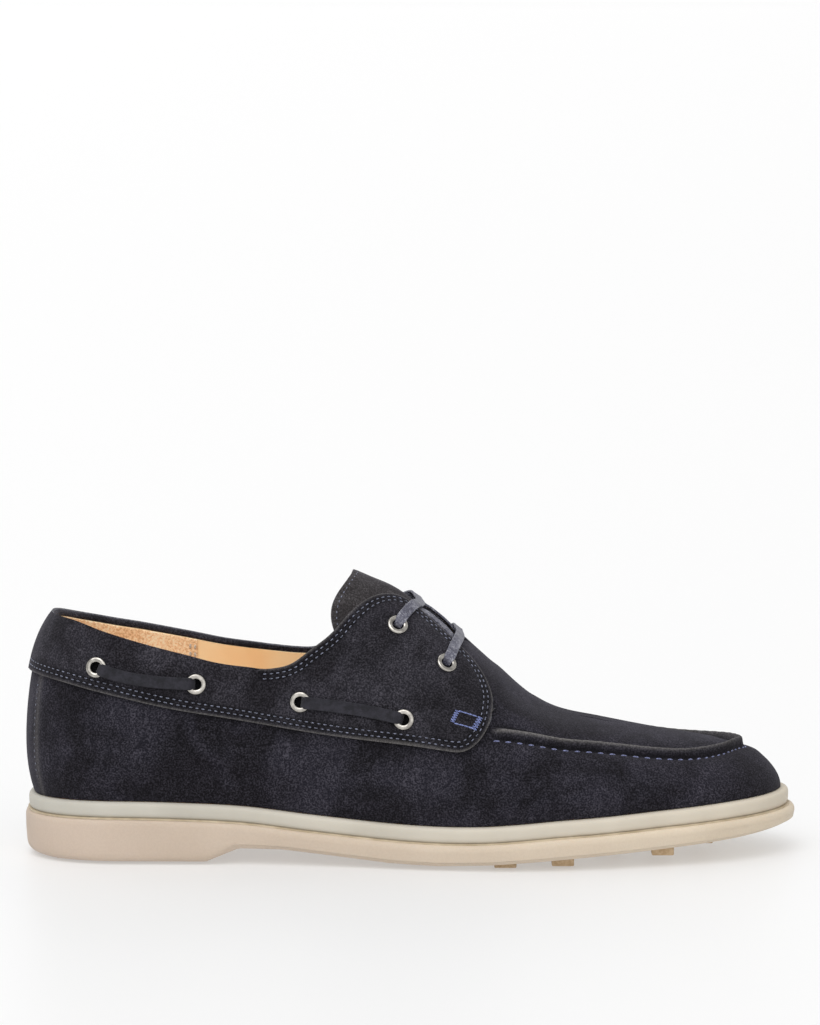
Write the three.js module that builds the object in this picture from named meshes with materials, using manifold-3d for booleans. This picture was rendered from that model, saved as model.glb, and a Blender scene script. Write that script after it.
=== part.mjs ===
// Right boat shoe, EU size 42, in millimetres.
// x runs from the heel to the toe, -y is the outer side of the foot and +z is up.
// The upper follows one last, given below as sections. A place on the last is a station (the x of the
// section's foot on the feather line) and a turn (the angle round the section: 0 at the feather, 90 on top).

import * as THREE from 'three';
import { mergeVertices } from 'three/addons/utils/BufferGeometryUtils.js';
import Module from 'manifold-3d';

const wasm = await Module();
wasm.setup();

// ---- driving sizes ----
const HEEL_X = 3.3;              // back of the last
const TOE_X = 293.5;             // front of the last
const HEEL_ROUND = { long: 36, power: 2.2 };   // rounded back of the outline
const TOE_ROUND = { long: 40, power: 2 };      // rounded front of the outline
const HEEL_FAN = { from: 60, reach: 25 };    // the heel's sections fan round this stretch
const TOE_FAN = { from: 225, reach: 51 };    // and the toe's round this one
const TOE_FAN_END = 0.5;         // how fast the fan still opens at the toe
const GAP = 0.3;                 // between pieces that touch

const UPPER_WALL = 2.0;
const BAND_WALL = 1.4;
const RIDGE = { height: 2.3, width: 1.6, plugStep: 0.5, from: 180, blend: 5 };
const RIDGE_ROWS = [-4.2, -1.7, 0, 1.8, 4.5];  // rows of points across the raised seam
const THROAT_X = 173;            // front end of the throat
const THROAT_ROUND = 8;          // how far back the throat's round front end reaches
const BAND_FRONT_X = 180;        // front end of the eyestays
const BAND_CORNER = { top: 9, low: 15, turn: 49, power: 2.3 };   // rounding of the eyestays' front corners

const MIDSOLE_THICK = 6.2;
const INSOLE_THICK = 3.0;
const INSOLE_EASE = 0.8;         // room round the insole inside the wall
const INSOLE_ROUND = { in: 0.6, down: 0.8 };
const SOLE_EDGE = { heel: 3.3, toe: 5.5 };   // how far the outsole stands out past the upper
const MIDSOLE_EDGE = { heel: 2.0, toe: 3.0 };
const HEEL_BREAST = { from: 71, to: 83.5 };    // where the heel block slopes up to the arch

// side and frontSide: the turn of its edge at the tip and in front, sweep: how far the tip's edge bows back
// on each side, most at the share bow of the way down, below: how far it lies under the last's surface,
// lift: how far its tip rises off the instep, crown: how far it rises between the eyestays
const TONGUE = {
  thick: 2.0, front: 188, tip: 127, side: { outer: 42, inner: 36 }, frontSide: 62,
  sweep: { outer: 8, inner: 3 }, bow: 0.78, bowPower: 2.1, below: 3.8, underRim: 3,
  lift: 4.5, liftFrom: 160, liftPower: 1.2, crown: 2.3, crownFrom: 172, crownFull: 162,
};

const EYELET = { outer: 3.9, hole: 2.4, high: 1.0 };
const THROAT_EYELETS = [{ x: 144, turn: 54.4 }, { x: 162.4, turn: 51.4 }];
const SIDE_EYELETS = [
  { x: 29.7, turn: 35.6 }, { x: 67.3, turn: 30.1 }, { x: 107.4, turn: 26.5 }, { x: 146.8, turn: 27.1 },
];
const LACE = { wide: 3.8, thick: 1.2 };

// ---- the last: a row for each section ----
// centre: middle of the foot across, half: half width at the feather, feather: height of the feather edge,
// spine: height on top, full: how square the section is, bulge: how far the wall stands out past its foot
const LAST = [
  { x: 3.3, centre: 0, half: 32, feather: 24, spine: 102, full: 2.8, bulge: 3.4 },
  { x: 30, centre: 0, half: 32, feather: 24.3, spine: 102, full: 3.2, bulge: 3.0 },
  { x: 60, centre: -0.5, half: 31.8, feather: 23.8, spine: 106, full: 3.2, bulge: 2.4 },
  { x: 85, centre: -1.8, half: 31, feather: 22.6, spine: 110, full: 2.9, bulge: 2.0 },
  { x: 110, centre: -3.2, half: 32.5, feather: 20, spine: 111, full: 2.6, bulge: 2.0 },
  { x: 127, centre: -3.2, half: 35.5, feather: 18.5, spine: 109, full: 2.45, bulge: 2.0 },
  { x: 145, centre: -2.2, half: 40, feather: 17.2, spine: 102.5, full: 2.4, bulge: 2.0 },
  { x: 165, centre: -0.4, half: 45, feather: 16.6, spine: 87.4, full: 2.35, bulge: 2.0 },
  { x: 180, centre: 0.8, half: 47.8, feather: 17, spine: 73.8, full: 2.35, bulge: 2.0 },
  { x: 192, centre: 1.6, half: 48.9, feather: 17.9, spine: 62.9, full: 2.3, bulge: 1.9 },
  { x: 205, centre: 2.4, half: 48.8, feather: 19, spine: 54.9, full: 2.25, bulge: 1.8 },
  { x: 222, centre: 3.6, half: 46.8, feather: 19.9, spine: 50.3, full: 2.2, bulge: 1.6 },
  { x: 245, centre: 5.4, half: 41.8, feather: 21.4, spine: 45.9, full: 2.1, bulge: 1.2 },
  { x: 268, centre: 7.2, half: 36.8, feather: 22.8, spine: 42, full: 1.9, bulge: 0.6 },
  { x: 293.5, centre: 8.5, half: 33.5, feather: 24, spine: 36, full: 1.62, bulge: 0.2 },
];

// top edge of the quarters, as the turn on each side: collar, back edge, top and throat edge of the eyestay
const RIM = [
  { x: 3.3, outer: 53.2, inner: 53.2 }, { x: 16, outer: 50.7, inner: 48.2 },
  { x: 31, outer: 45.8, inner: 44 }, { x: 44, outer: 42.1, inner: 41.5 },
  { x: 62, outer: 37.8, inner: 38.1 }, { x: 77, outer: 34.7, inner: 35.6 },
  { x: 86, outer: 33.9, inner: 34.8 }, { x: 96, outer: 33.8, inner: 34.3 },
  { x: 104.5, outer: 35.7, inner: 34.2 }, { x: 111, outer: 39.5, inner: 34.6 },
  { x: 120, outer: 46, inner: 37.5 }, { x: 127, outer: 54.5, inner: 43 },
  { x: 134, outer: 63, inner: 51 }, { x: 139, outer: 68, inner: 58 },
  { x: 144, outer: 71.5, inner: 64.5 }, { x: 149, outer: 72, inner: 69 },
  { x: 154, outer: 70.5, inner: 70.5 }, { x: 160, outer: 69, inner: 69.5 },
  { x: 169, outer: 66.5, inner: 66.5 }, { x: 175, outer: 64, inner: 64 },
  { x: 184, outer: 59.5, inner: 59.5 },
];

// lower edge of the collar band
const BAND_LOW = [
  { x: 3.3, turn: 33.9 }, { x: 13, turn: 32.6 }, { x: 32, turn: 29.1 }, { x: 57, turn: 24.6 },
  { x: 85, turn: 21.2 }, { x: 108, turn: 19.8 }, { x: 128, turn: 19.6 }, { x: 148, turn: 20.8 },
  { x: 163, turn: 22.8 }, { x: 171, turn: 24.2 }, { x: 184, turn: 28 },
];

// the raised seam of the apron
const RIDGE_LINE = [
  { x: 160, turn: 27 }, { x: 179.5, turn: 36.5 }, { x: 195, turn: 45.2 }, { x: 211, turn: 50.4 },
  { x: 228, turn: 52.6 }, { x: 245, turn: 52.8 }, { x: 258, turn: 55.2 }, { x: 274, turn: 65 },
  { x: 286, turn: 76 }, { x: 293.5, turn: 81 },
];

// underside of the outsole
const TREAD = [
  { x: 0, z: 1.4 }, { x: 12, z: 0.8 }, { x: HEEL_BREAST.from, z: 0.8 }, { x: HEEL_BREAST.to, z: 6.0 },
  { x: 100, z: 5.9 }, { x: 118, z: 4.2 }, { x: 142, z: 1.9 }, { x: 160, z: 1.3 }, { x: 180, z: 2.0 },
  { x: 210, z: 4.2 }, { x: 241, z: 6.3 }, { x: 273, z: 8.8 }, { x: 299, z: 11.6 },
];

// ---- small helpers ----

// a smooth function of x through one column of a table
function column(rows, key) {
  const slope = (i) => (rows[i + 1][key] - rows[i][key]) / (rows[i + 1].x - rows[i].x);
  const tangents = rows.map((row, i) => {
    if (i === 0) return slope(0);
    if (i === rows.length - 1) return slope(i - 1);
    const before = row.x - rows[i - 1].x;
    const after = rows[i + 1].x - row.x;
    return (slope(i - 1) * after + slope(i) * before) / (before + after);
  });
  return (x) => {
    const at = THREE.MathUtils.clamp(x, rows[0].x, rows[rows.length - 1].x);
    let i = 0;
    while (i < rows.length - 2 && rows[i + 1].x < at) i += 1;
    const h = rows[i + 1].x - rows[i].x;
    const t = (at - rows[i].x) / h;
    return (1 + 2 * t) * (1 - t) ** 2 * rows[i][key] + t * (1 - t) ** 2 * h * tangents[i]
      + t * t * (3 - 2 * t) * rows[i + 1][key] + t * t * (t - 1) * h * tangents[i + 1];
  };
}

// straight lines between the rows of a table, for edges that are not smooth
function steps(rows, key) {
  return (x) => {
    let i = 0;
    while (i < rows.length - 2 && rows[i + 1].x < x) i += 1;
    const t = THREE.MathUtils.clamp((x - rows[i].x) / (rows[i + 1].x - rows[i].x), 0, 1);
    return THREE.MathUtils.lerp(rows[i][key], rows[i + 1][key], t);
  };
}

const radians = THREE.MathUtils.degToRad;
const centreOf = column(LAST, 'centre');
const widthOf = column(LAST, 'half');
const featherOf = column(LAST, 'feather');
const spineOf = column(LAST, 'spine');
const fullOf = column(LAST, 'full');
const bulgeOf = column(LAST, 'bulge');
const outerRimOf = column(RIM, 'outer');
const innerRimOf = column(RIM, 'inner');
const bandLowOf = column(BAND_LOW, 'turn');
const ridgeOf = column(RIDGE_LINE, 'turn');
const treadOf = steps(TREAD, 'z');

// quarter ellipse from 0 at the start of a rounded end to 1 at its tip
function roundOff(into, power) {
  return Math.max(0, 1 - Math.max(0, into) ** power) ** (1 / power);
}

function halfWidth(x) {
  const heel = roundOff((HEEL_X + HEEL_ROUND.long - x) / HEEL_ROUND.long, HEEL_ROUND.power);
  const toe = roundOff((x - TOE_X + TOE_ROUND.long) / TOE_ROUND.long, TOE_ROUND.power);
  return widthOf(x) * heel * toe;
}

// where on the top line the section that starts at station x ends
function topStation(x) {
  if (x < HEEL_FAN.from) {
    const r = (HEEL_FAN.from - x) / (HEEL_FAN.from - HEEL_X);
    return HEEL_FAN.from - HEEL_FAN.reach * (1 - (1 - r) ** ((HEEL_FAN.from - HEEL_X) / HEEL_FAN.reach));
  }
  if (x > TOE_FAN.from) {
    const r = (x - TOE_FAN.from) / (TOE_X - TOE_FAN.from);
    const start = (TOE_X - TOE_FAN.from) / TOE_FAN.reach;
    const shape = start * r + (3 - 2 * start - TOE_FAN_END) * r ** 2 + (start + TOE_FAN_END - 2) * r ** 3;
    return TOE_FAN.from + TOE_FAN.reach * shape;
  }
  return x;
}

// A way round the last: 0 at the heel, then along the outer side, PI at the toe, back along the inner side.
function stationOf(way) {
  return HEEL_X + (TOE_X - HEEL_X) * (1 - Math.cos(way)) / 2;
}

function wayOf(x, side) {
  const way = Math.acos(THREE.MathUtils.clamp(1 - 2 * (x - HEEL_X) / (TOE_X - HEEL_X), -1, 1));
  return side === 'outer' ? way : 2 * Math.PI - way;
}

// the turn of the quarters' top edge
function rimOf(way) {
  return (Math.sin(way) >= 0 ? outerRimOf : innerRimOf)(stationOf(way));
}

function footPoint(way) {
  const x = stationOf(way);
  const across = Math.sin(way) >= 0 ? -1 : 1;
  return new THREE.Vector3(x, centreOf(x) + across * halfWidth(x), featherOf(x));
}

// the bare surface of the last
function lastPoint(way, turn) {
  const foot = footPoint(way);
  const x = foot.x;
  const top = topStation(x);
  const full = fullOf(x);
  const out = Math.max(0, Math.cos(radians(turn)));
  const up = Math.sin(radians(turn));
  const reach = (out ** full + up ** full) ** (1 / full);
  const rise = up / reach;
  const inward = new THREE.Vector2(top - x, centreOf(top) - foot.y);
  const travel = inward.length() * (1 - out / reach) - bulgeOf(x) * (1 - (2 * rise - 1) ** 4);
  inward.normalize().multiplyScalar(travel);
  return new THREE.Vector3(x + inward.x, foot.y + inward.y, foot.z + (spineOf(top) - foot.z) * rise);
}

const WAY_STEP = 0.004;
const TURN_STEP = 0.2;

function lastNormal(way, turn) {
  const forward = lastPoint(way + WAY_STEP, turn).sub(lastPoint(way - WAY_STEP, turn));
  const low = Math.max(0, turn - TURN_STEP);
  const round = lastPoint(way, Math.min(90, low + 2 * TURN_STEP)).sub(lastPoint(way, low));
  return forward.cross(round).normalize();
}

// a point that stands `out` from the last
function offLast(way, turn, out) {
  if (turn >= 90) {
    const x = topStation(stationOf(way));
    const slope = (spineOf(x + 1) - spineOf(x - 1)) / 2;
    const normal = new THREE.Vector3(-slope, 0, 1).normalize();
    return new THREE.Vector3(x, centreOf(x), spineOf(x)).addScaledVector(normal, out);
  }
  return lastPoint(way, turn).addScaledVector(lastNormal(way, turn), out);
}

// length round the section that one degree of turn covers: a quarter ellipse is shorter than its two sides
const ARC_SHARE = 0.8;

function perDegree(way) {
  const foot = footPoint(way);
  const top = topStation(foot.x);
  const across = Math.hypot(top - foot.x, centreOf(top) - foot.y);
  return ARC_SHARE * (across + spineOf(top) - foot.z) / 90;
}

// how far the upper's skin stands off the last: the apron's raised seam and the plug inside it
function apronRise(way, turn) {
  const x = stationOf(way);
  const fade = THREE.MathUtils.smoothstep(x, RIDGE.from, RIDGE.from + RIDGE.blend);
  const away = (turn - ridgeOf(x)) * perDegree(way);
  const crest = RIDGE.height * Math.exp(-((away / RIDGE.width) ** 2));
  const plug = away > 0 ? RIDGE.plugStep : 0;
  return fade * Math.max(crest, plug);
}

function ringWays(stations) {
  const outer = stations.map((x) => wayOf(x, 'outer'));
  const inner = stations.slice(1, -1).reverse().map((x) => wayOf(x, 'inner'));
  return [...outer, ...inner];
}

// stations closer together at the two ends, with any that must be hit
const CLOSEST = 2.2;

function stationList(count, hits) {
  const even = Array.from({ length: count + 1 }, (_, i) => stationOf(Math.PI * i / count));
  const free = (x) => hits.every((hit) => Math.abs(hit - x) > CLOSEST);
  const kept = even.filter((x, i) => i === 0 || i === count || free(x));
  return [...kept, ...hits].sort((a, b) => a - b);
}

// ---- mesh builders ----

// joins points that coincide and drops the triangles that this empties
function meshFrom(points, triangles) {
  const geometry = new THREE.BufferGeometry();
  const flat = points.flatMap((p) => [p.x, p.y, p.z]);
  geometry.setAttribute('position', new THREE.Float32BufferAttribute(flat, 3));
  geometry.setIndex(triangles.flat());
  const merged = mergeVertices(geometry, 1e-3);
  const index = merged.index.array;
  const kept = [];
  for (let i = 0; i < index.length; i += 3) {
    const [a, b, c] = [index[i], index[i + 1], index[i + 2]];
    if (a !== b && b !== c && c !== a) kept.push(a, b, c);
  }
  merged.setIndex(kept);
  return merged;
}

// four corners, anticlockwise seen from outside
function quad(a, b, c, d) {
  return [[a, b, c], [a, c, d]];
}

// Rings of points that go round the shoe, skinned one to the next; the last ring may meet the first.
// From ring `turned` on, the cells are cut along their other diagonal, so that both faces of a wall match.
function skinRings(rings, { closed = false, turned = Infinity, skip = () => false } = {}) {
  const count = rings[0].length;
  const triangles = [];
  const last = closed ? rings.length : rings.length - 1;
  for (let r = 0; r < last; r += 1) {
    const above = (r + 1) % rings.length;
    for (let i = 0; i < count; i += 1) {
      const next = (i + 1) % count;
      if (skip(r, i, next)) continue;
      const corners = [r * count + i, r * count + next, above * count + next, above * count + i];
      if (r >= turned) corners.push(corners.shift());
      triangles.push(...quad(...corners));
    }
  }
  return triangles;
}

// closes a ring straight across the shoe, station by station
function capRing(start, stationCount, facing) {
  const total = 2 * stationCount - 2;
  const triangles = [];
  for (let i = 0; i < stationCount - 1; i += 1) {
    const inner = start + (total - i) % total;
    triangles.push(...quad(start + i, start + i + 1, start + total - i - 1, inner));
  }
  return facing === 'up' ? triangles : triangles.map(([a, b, c]) => [a, c, b]);
}

// the feather line moved out level by a margin, at a height
function edgePoint(way, margin, height) {
  const ahead = footPoint(way + WAY_STEP).sub(footPoint(way - WAY_STEP));
  const normal = new THREE.Vector2(ahead.y, -ahead.x).normalize();
  const foot = footPoint(way);
  return new THREE.Vector3(foot.x + normal.x * margin, foot.y + normal.y * margin, height);
}

// a plate with the last's outline: rings of points from its top to its bottom, closed at both
function plateGeometry(stations, ringsOf) {
  const ways = ringWays(stations);
  const rings = ringsOf.map((ring) => ways.map((way) => ring(way)));
  const triangles = skinRings(rings).map(([a, b, c]) => [a, c, b]);
  triangles.push(...capRing(0, stations.length, 'up'));
  triangles.push(...capRing((rings.length - 1) * ways.length, stations.length, 'down'));
  return meshFrom(rings.flat(), triangles);
}

function toSolid(geometry) {
  const bare = geometry.clone();
  bare.deleteAttribute('normal');
  bare.deleteAttribute('uv');
  const merged = mergeVertices(bare, 1e-4);
  return new wasm.Manifold(new wasm.Mesh({
    numProp: 3,
    vertProperties: new Float32Array(merged.attributes.position.array),
    triVerts: new Uint32Array(merged.index.array),
  }));
}

function toGeometry(solid) {
  const mesh = solid.getMesh();
  const geometry = new THREE.BufferGeometry();
  geometry.setAttribute('position', new THREE.BufferAttribute(mesh.vertProperties, 3));
  geometry.setIndex(new THREE.BufferAttribute(mesh.triVerts, 1));
  return geometry;
}

// ---- sole ----

function along(edge, x) {
  return THREE.MathUtils.lerp(edge.heel, edge.toe, (x - HEEL_X) / (TOE_X - HEEL_X));
}

const BALL = { from: 142, to: 160 };
const SOLE_STATIONS = stationList(40, [HEEL_BREAST.from, HEEL_BREAST.to, BALL.from, BALL.to]);

function soleTop(x) {
  return featherOf(x) - MIDSOLE_THICK - 2 * GAP;
}

// studs under the forefoot, staggered in rows, and a flat pad under heel and ball
const STUD = { wide: 8.5, deep: 3.6, sink: 1.6 };
const STUD_ROWS = [
  { x: 185.5, across: [-38, 0, 40] }, { x: 196.5, across: [-19, 22] }, { x: 207.5, across: [-36.5, 3, 41] },
  { x: 227, across: [-16, 24] }, { x: 246, across: [-28, 5, 37] }, { x: 262, across: [-8, 21] },
];
const PADS = [
  { x: 34, y: 0, long: 42, wide: 40 }, { x: 157, y: -1, long: 17, wide: 66 },
];

function lug(x, y, long, wide, bottom, top) {
  const box = new THREE.BoxGeometry(long, wide, top - bottom);
  box.translate(x, y, (top + bottom) / 2);
  return toSolid(box);
}

// the rounded edges of outsole and midsole: how far in from the widest line, and how far down from the top
// face or up from the bottom face
const SOLE_PROFILE = [
  { inset: 2.2, down: 0 }, { inset: 0.7, down: 0.5 }, { inset: 0, down: 2.4 },
  { inset: 0.5, up: 2.6 }, { inset: 1.7, up: 0.8 }, { inset: 4.2, up: 0 },
];
const MIDSOLE_PROFILE = [
  { inset: 0.9, down: 0 }, { inset: 0, down: 1.2 }, { inset: 0, up: 1.0 }, { inset: 0.6, up: 0 },
];

function profiledPlate(profile, edge, topOf, bottomOf) {
  return plateGeometry(SOLE_STATIONS, profile.map(({ inset, down, up }) => (way) => {
    const x = stationOf(way);
    const height = down === undefined ? bottomOf(x) + up : topOf(x) - down;
    return edgePoint(way, along(edge, x) - inset, height);
  }));
}

function outsole() {
  let solid = toSolid(profiledPlate(SOLE_PROFILE, SOLE_EDGE, soleTop, treadOf));
  for (const row of STUD_ROWS) {
    for (const y of row.across) {
      const under = treadOf(row.x);
      const bottom = Math.max(0, under - STUD.deep);
      solid = solid.add(lug(row.x, y, STUD.wide, STUD.wide, bottom, under + STUD.sink));
    }
  }
  for (const pad of PADS) {
    solid = solid.add(lug(pad.x, pad.y, pad.long, pad.wide, 0, treadOf(pad.x) + STUD.sink));
  }
  return toGeometry(solid);
}

function midsole() {
  const top = (x) => featherOf(x) - GAP;
  const bottom = (x) => featherOf(x) - GAP - MIDSOLE_THICK;
  return profiledPlate(MIDSOLE_PROFILE, MIDSOLE_EDGE, top, bottom);
}

function insole() {
  const inset = UPPER_WALL + INSOLE_EASE;
  const top = (way) => featherOf(stationOf(way)) + INSOLE_THICK;
  return plateGeometry(SOLE_STATIONS, [
    (way) => edgePoint(way, -inset - INSOLE_ROUND.in, top(way)),
    (way) => edgePoint(way, -inset, top(way) - INSOLE_ROUND.down),
    (way) => edgePoint(way, -inset, featherOf(stationOf(way))),
  ]);
}

// ---- upper ----

// stations at the rows of the rim, and closer at the round ends of throat and band
const UPPER_STATIONS = stationList(48, [
  ...RIM.map((row) => row.x).filter((x) => x > 95 && x < 170),
  THROAT_X - THROAT_ROUND, THROAT_X, BAND_FRONT_X - 3.8, BAND_FRONT_X - 1.2, BAND_FRONT_X,
]);
const BAND_CELLS = 6;            // rows of cells from the band's lower edge to the rim

// the turn at which the upper ends: its collar and throat edge, or the top line in front of the throat
function upperEdge(way) {
  const x = stationOf(way);
  if (x > THROAT_X - 0.01) return 90;
  const into = (x - THROAT_X + THROAT_ROUND) / THROAT_ROUND;
  return 90 - (90 - rimOf(way)) * roundOff(into, 2);
}

// turns of the outer rows: from the band's lower edge to the rim behind, round the apron's seam in front
const BELOW_BAND = [0.4, 0.72];
const BELOW_SEAM = [0.36, 0.68];
const FOOT_TURN = 4;

function outerTurns(way) {
  const x = stationOf(way);
  const edge = upperEdge(way);
  const seam = ridgeOf(x);
  const nearSeam = RIDGE_ROWS.map((away) => seam + away / perDegree(way));
  const onPlug = (nearSeam.at(-1) + 90) / 2;
  const front = [0, FOOT_TURN, ...BELOW_SEAM.map((part) => seam * part), ...nearSeam, onPlug, 90];
  const low = bandLowOf(x);
  const overBand = Array.from({ length: BAND_CELLS + 1 }, (_, i) => low + (edge - low) * i / BAND_CELLS);
  const back = [0, FOOT_TURN, ...BELOW_BAND.map((part) => low * part), ...overBand];
  const share = THREE.MathUtils.smoothstep(x, THROAT_X - THROAT_ROUND, THROAT_X);
  return front.map((turn, i) => THREE.MathUtils.lerp(back[i], turn, share));
}

const INNER_PARTS = [0, 0.1, 0.3, 0.5, 0.66, 0.79, 0.9, 1];

function upper() {
  const ways = ringWays(UPPER_STATIONS);
  const outerRings = outerTurns(0).map((_, k) => ways.map((way) => {
    const turn = outerTurns(way)[k];
    return offLast(way, turn, apronRise(way, turn));
  }));
  const innerRings = INNER_PARTS.map((part) => ways.map((way) => {
    const point = offLast(way, upperEdge(way) * part, -UPPER_WALL);
    return part === 0 ? point.setZ(featherOf(stationOf(way))) : point;
  }));
  const rings = [...outerRings, ...innerRings.reverse()];
  const topRing = outerRings.length - 1;
  const closedAt = (i) => upperEdge(ways[i]) === 90;
  const triangles = skinRings(rings, {
    closed: true,
    turned: outerRings.length,
    skip: (r, i, next) => r === topRing && closedAt(i) && closedAt(next),
  });
  return meshFrom(rings.flat(), triangles);
}

// ---- collar band with its eyestays ----

const BAND_STATIONS = UPPER_STATIONS.filter((x) => x <= BAND_FRONT_X);

function bandTop(way) {
  const into = (stationOf(way) - BAND_FRONT_X + BAND_CORNER.top) / BAND_CORNER.top;
  return BAND_CORNER.turn + (rimOf(way) - BAND_CORNER.turn) * roundOff(into, 2);
}

function bandBottom(way) {
  const x = stationOf(way);
  const into = (x - BAND_FRONT_X + BAND_CORNER.low) / BAND_CORNER.low;
  return BAND_CORNER.turn - (BAND_CORNER.turn - bandLowOf(x)) * roundOff(into, BAND_CORNER.power);
}

function collarBand() {
  const outer = BAND_STATIONS.map((x) => wayOf(x, 'outer'));
  const inner = BAND_STATIONS.slice(1).map((x) => wayOf(x, 'inner') - 2 * Math.PI);
  const ways = [...inner.reverse(), ...outer];
  const row = (part, out) => ways.map((way) => (
    offLast(way, THREE.MathUtils.lerp(bandBottom(way), bandTop(way), part), out)
  ));
  const parts = Array.from({ length: BAND_CELLS + 1 }, (_, i) => i / BAND_CELLS);
  const face = parts.map((part) => row(part, GAP + BAND_WALL));
  const back = parts.map((part) => row(part, GAP));
  const rings = [...face, ...back.reverse()];
  const triangles = skinRings(rings, {
    closed: true,
    turned: face.length,
    skip: (r, i) => i === ways.length - 1,
  });
  return meshFrom(rings.flat(), triangles);
}

// ---- tongue ----

const TONGUE_STEPS = 12;
const TONGUE_ACROSS = [0, 0.28, 0.55, 0.8, 1];

// how far the tongue's outer face stands off the last
function tongueOut(way, turn) {
  const x = stationOf(way);
  const free = THREE.MathUtils.clamp((TONGUE.liftFrom - x) / (TONGUE.liftFrom - TONGUE.tip), 0, 1);
  const edge = Math.min(upperEdge(way) + TONGUE.underRim, 89);
  const inside = THREE.MathUtils.clamp((turn - edge) / (90 - edge), 0, 1);
  const crown = TONGUE.crown * (1 - THREE.MathUtils.smoothstep(x, TONGUE.crownFull, TONGUE.crownFrom));
  const rise = THREE.MathUtils.lerp(crown, TONGUE.lift, free ** TONGUE.liftPower);
  return rise * Math.sin(inside * Math.PI / 2) - TONGUE.below;
}

// its edge spreads over the first part of its length
const TONGUE_SPREAD = 1.6;

function tonguePoint(part, across, side, inward) {
  const low = THREE.MathUtils.lerp(TONGUE.frontSide, TONGUE.side[side], Math.min(1, part * TONGUE_SPREAD));
  const turn = THREE.MathUtils.lerp(low, 90, across);
  const down = (90 - turn) / (90 - TONGUE.side[side]);
  const bow = Math.sin((Math.PI / 2) * (down / TONGUE.bow) ** TONGUE.bowPower);
  const end = TONGUE.tip - TONGUE.sweep[side] * bow;
  const way = wayOf(THREE.MathUtils.lerp(TONGUE.front, end, part), side);
  return offLast(way, turn, tongueOut(way, turn) - inward);
}

function tongue() {
  const places = [
    ...TONGUE_ACROSS.map((across) => [across, 'outer']),
    ...TONGUE_ACROSS.slice(0, -1).reverse().map((across) => [across, 'inner']),
  ];
  const section = (part) => {
    const face = places.map(([across, side]) => tonguePoint(part, across, side, 0));
    const back = places.map(([across, side]) => tonguePoint(part, across, side, TONGUE.thick));
    return [...face, ...back.reverse()];
  };
  const sections = Array.from({ length: TONGUE_STEPS + 1 }, (_, i) => section(i / TONGUE_STEPS));
  return tubeOf(sections);
}

// sections of equal count joined into one closed bar, with strips across its two flat ends
function tubeOf(sections) {
  const count = sections[0].length;
  const triangles = skinRings(sections);
  const last = (sections.length - 1) * count;
  for (let i = 0; i < count / 2 - 1; i += 1) {
    const strip = [i, i + 1, count - 2 - i, count - 1 - i];
    triangles.push(...quad(strip[3], strip[2], strip[1], strip[0]));
    triangles.push(...quad(...strip.map((k) => k + last)));
  }
  return meshFrom(sections.flat(), triangles);
}

// ---- eyelets and laces ----

const BAND_FACE = GAP + BAND_WALL;
const EYELET_SEAT = BAND_FACE + GAP;
const LACE_EASE = 0.75;      // room between an eyelet and the flat lace over it
const LACE_OVER = EYELET_SEAT + EYELET.high + LACE_EASE + LACE.thick / 2;
const EYELET_SIDES = 12;

function eyelet(place, side) {
  const profile = [
    [EYELET.hole, 0], [EYELET.outer, 0], [EYELET.outer, EYELET.high / 2],
    [(EYELET.outer + EYELET.hole) / 2, EYELET.high], [EYELET.hole, EYELET.high / 2], [EYELET.hole, 0],
  ].map(([r, h]) => new THREE.Vector2(r, h));
  const geometry = new THREE.LatheGeometry(profile, EYELET_SIDES);
  const way = wayOf(place.x, side);
  const normal = lastNormal(way, place.turn);
  const seat = offLast(way, place.turn, EYELET_SEAT);
  const upright = new THREE.Quaternion().setFromUnitVectors(new THREE.Vector3(0, 1, 0), normal);
  return { geometry, seat, upright };
}

// a flat lace through points that each have the direction of its face
function flatLace(path) {
  const sections = path.map(({ point, face }, i) => {
    const before = path[Math.max(0, i - 1)].point;
    const after = path[Math.min(path.length - 1, i + 1)].point;
    const ahead = after.clone().sub(before).normalize();
    const across = ahead.clone().cross(face).normalize().multiplyScalar(LACE.wide / 2);
    const thick = across.clone().cross(ahead).normalize().multiplyScalar(LACE.thick / 2);
    const corner = (a, t) => point.clone().addScaledVector(across, a).addScaledVector(thick, t);
    return [corner(-1, -1), corner(-1, 1), corner(1, 1), corner(1, -1)];
  });
  return tubeOf(sections);
}

function lacePlace(x, turn, side, out) {
  const way = wayOf(x, side);
  return { point: offLast(way, turn, out), face: lastNormal(way, Math.min(turn, 89)) };
}

// the strap that shows between two eyelets of the collar band: over the rings at its ends, down on the band
// between them
const STRAP = { cells: 12, ringEnd: 0.12, lies: 0.28, out: BAND_FACE + 2 * GAP + LACE.thick / 2 };

function sideStrap(from, to, side) {
  const path = Array.from({ length: STRAP.cells + 1 }, (_, i) => {
    const t = i / STRAP.cells;
    const lie = THREE.MathUtils.smoothstep(Math.min(t, 1 - t), STRAP.ringEnd, STRAP.lies);
    const out = THREE.MathUtils.lerp(LACE_OVER, STRAP.out, lie);
    const x = THREE.MathUtils.lerp(from.x, to.x, t);
    return lacePlace(x, THREE.MathUtils.lerp(from.turn, to.turn, t), side, out);
  });
  return flatLace(path);
}

// one bar across the throat, from an outer eyelet over the tongue to the inner one
const BAR_LEANS = [9, 6];    // how far forward each bar's middle lies
const BAR_PARTS = [0, 0.3, 0.55, 0.75, 0.9, 1];
const BAR_DIPS_FROM = 0.45;
const BAR_MIDDLE_OUT = 0.8;

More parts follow.
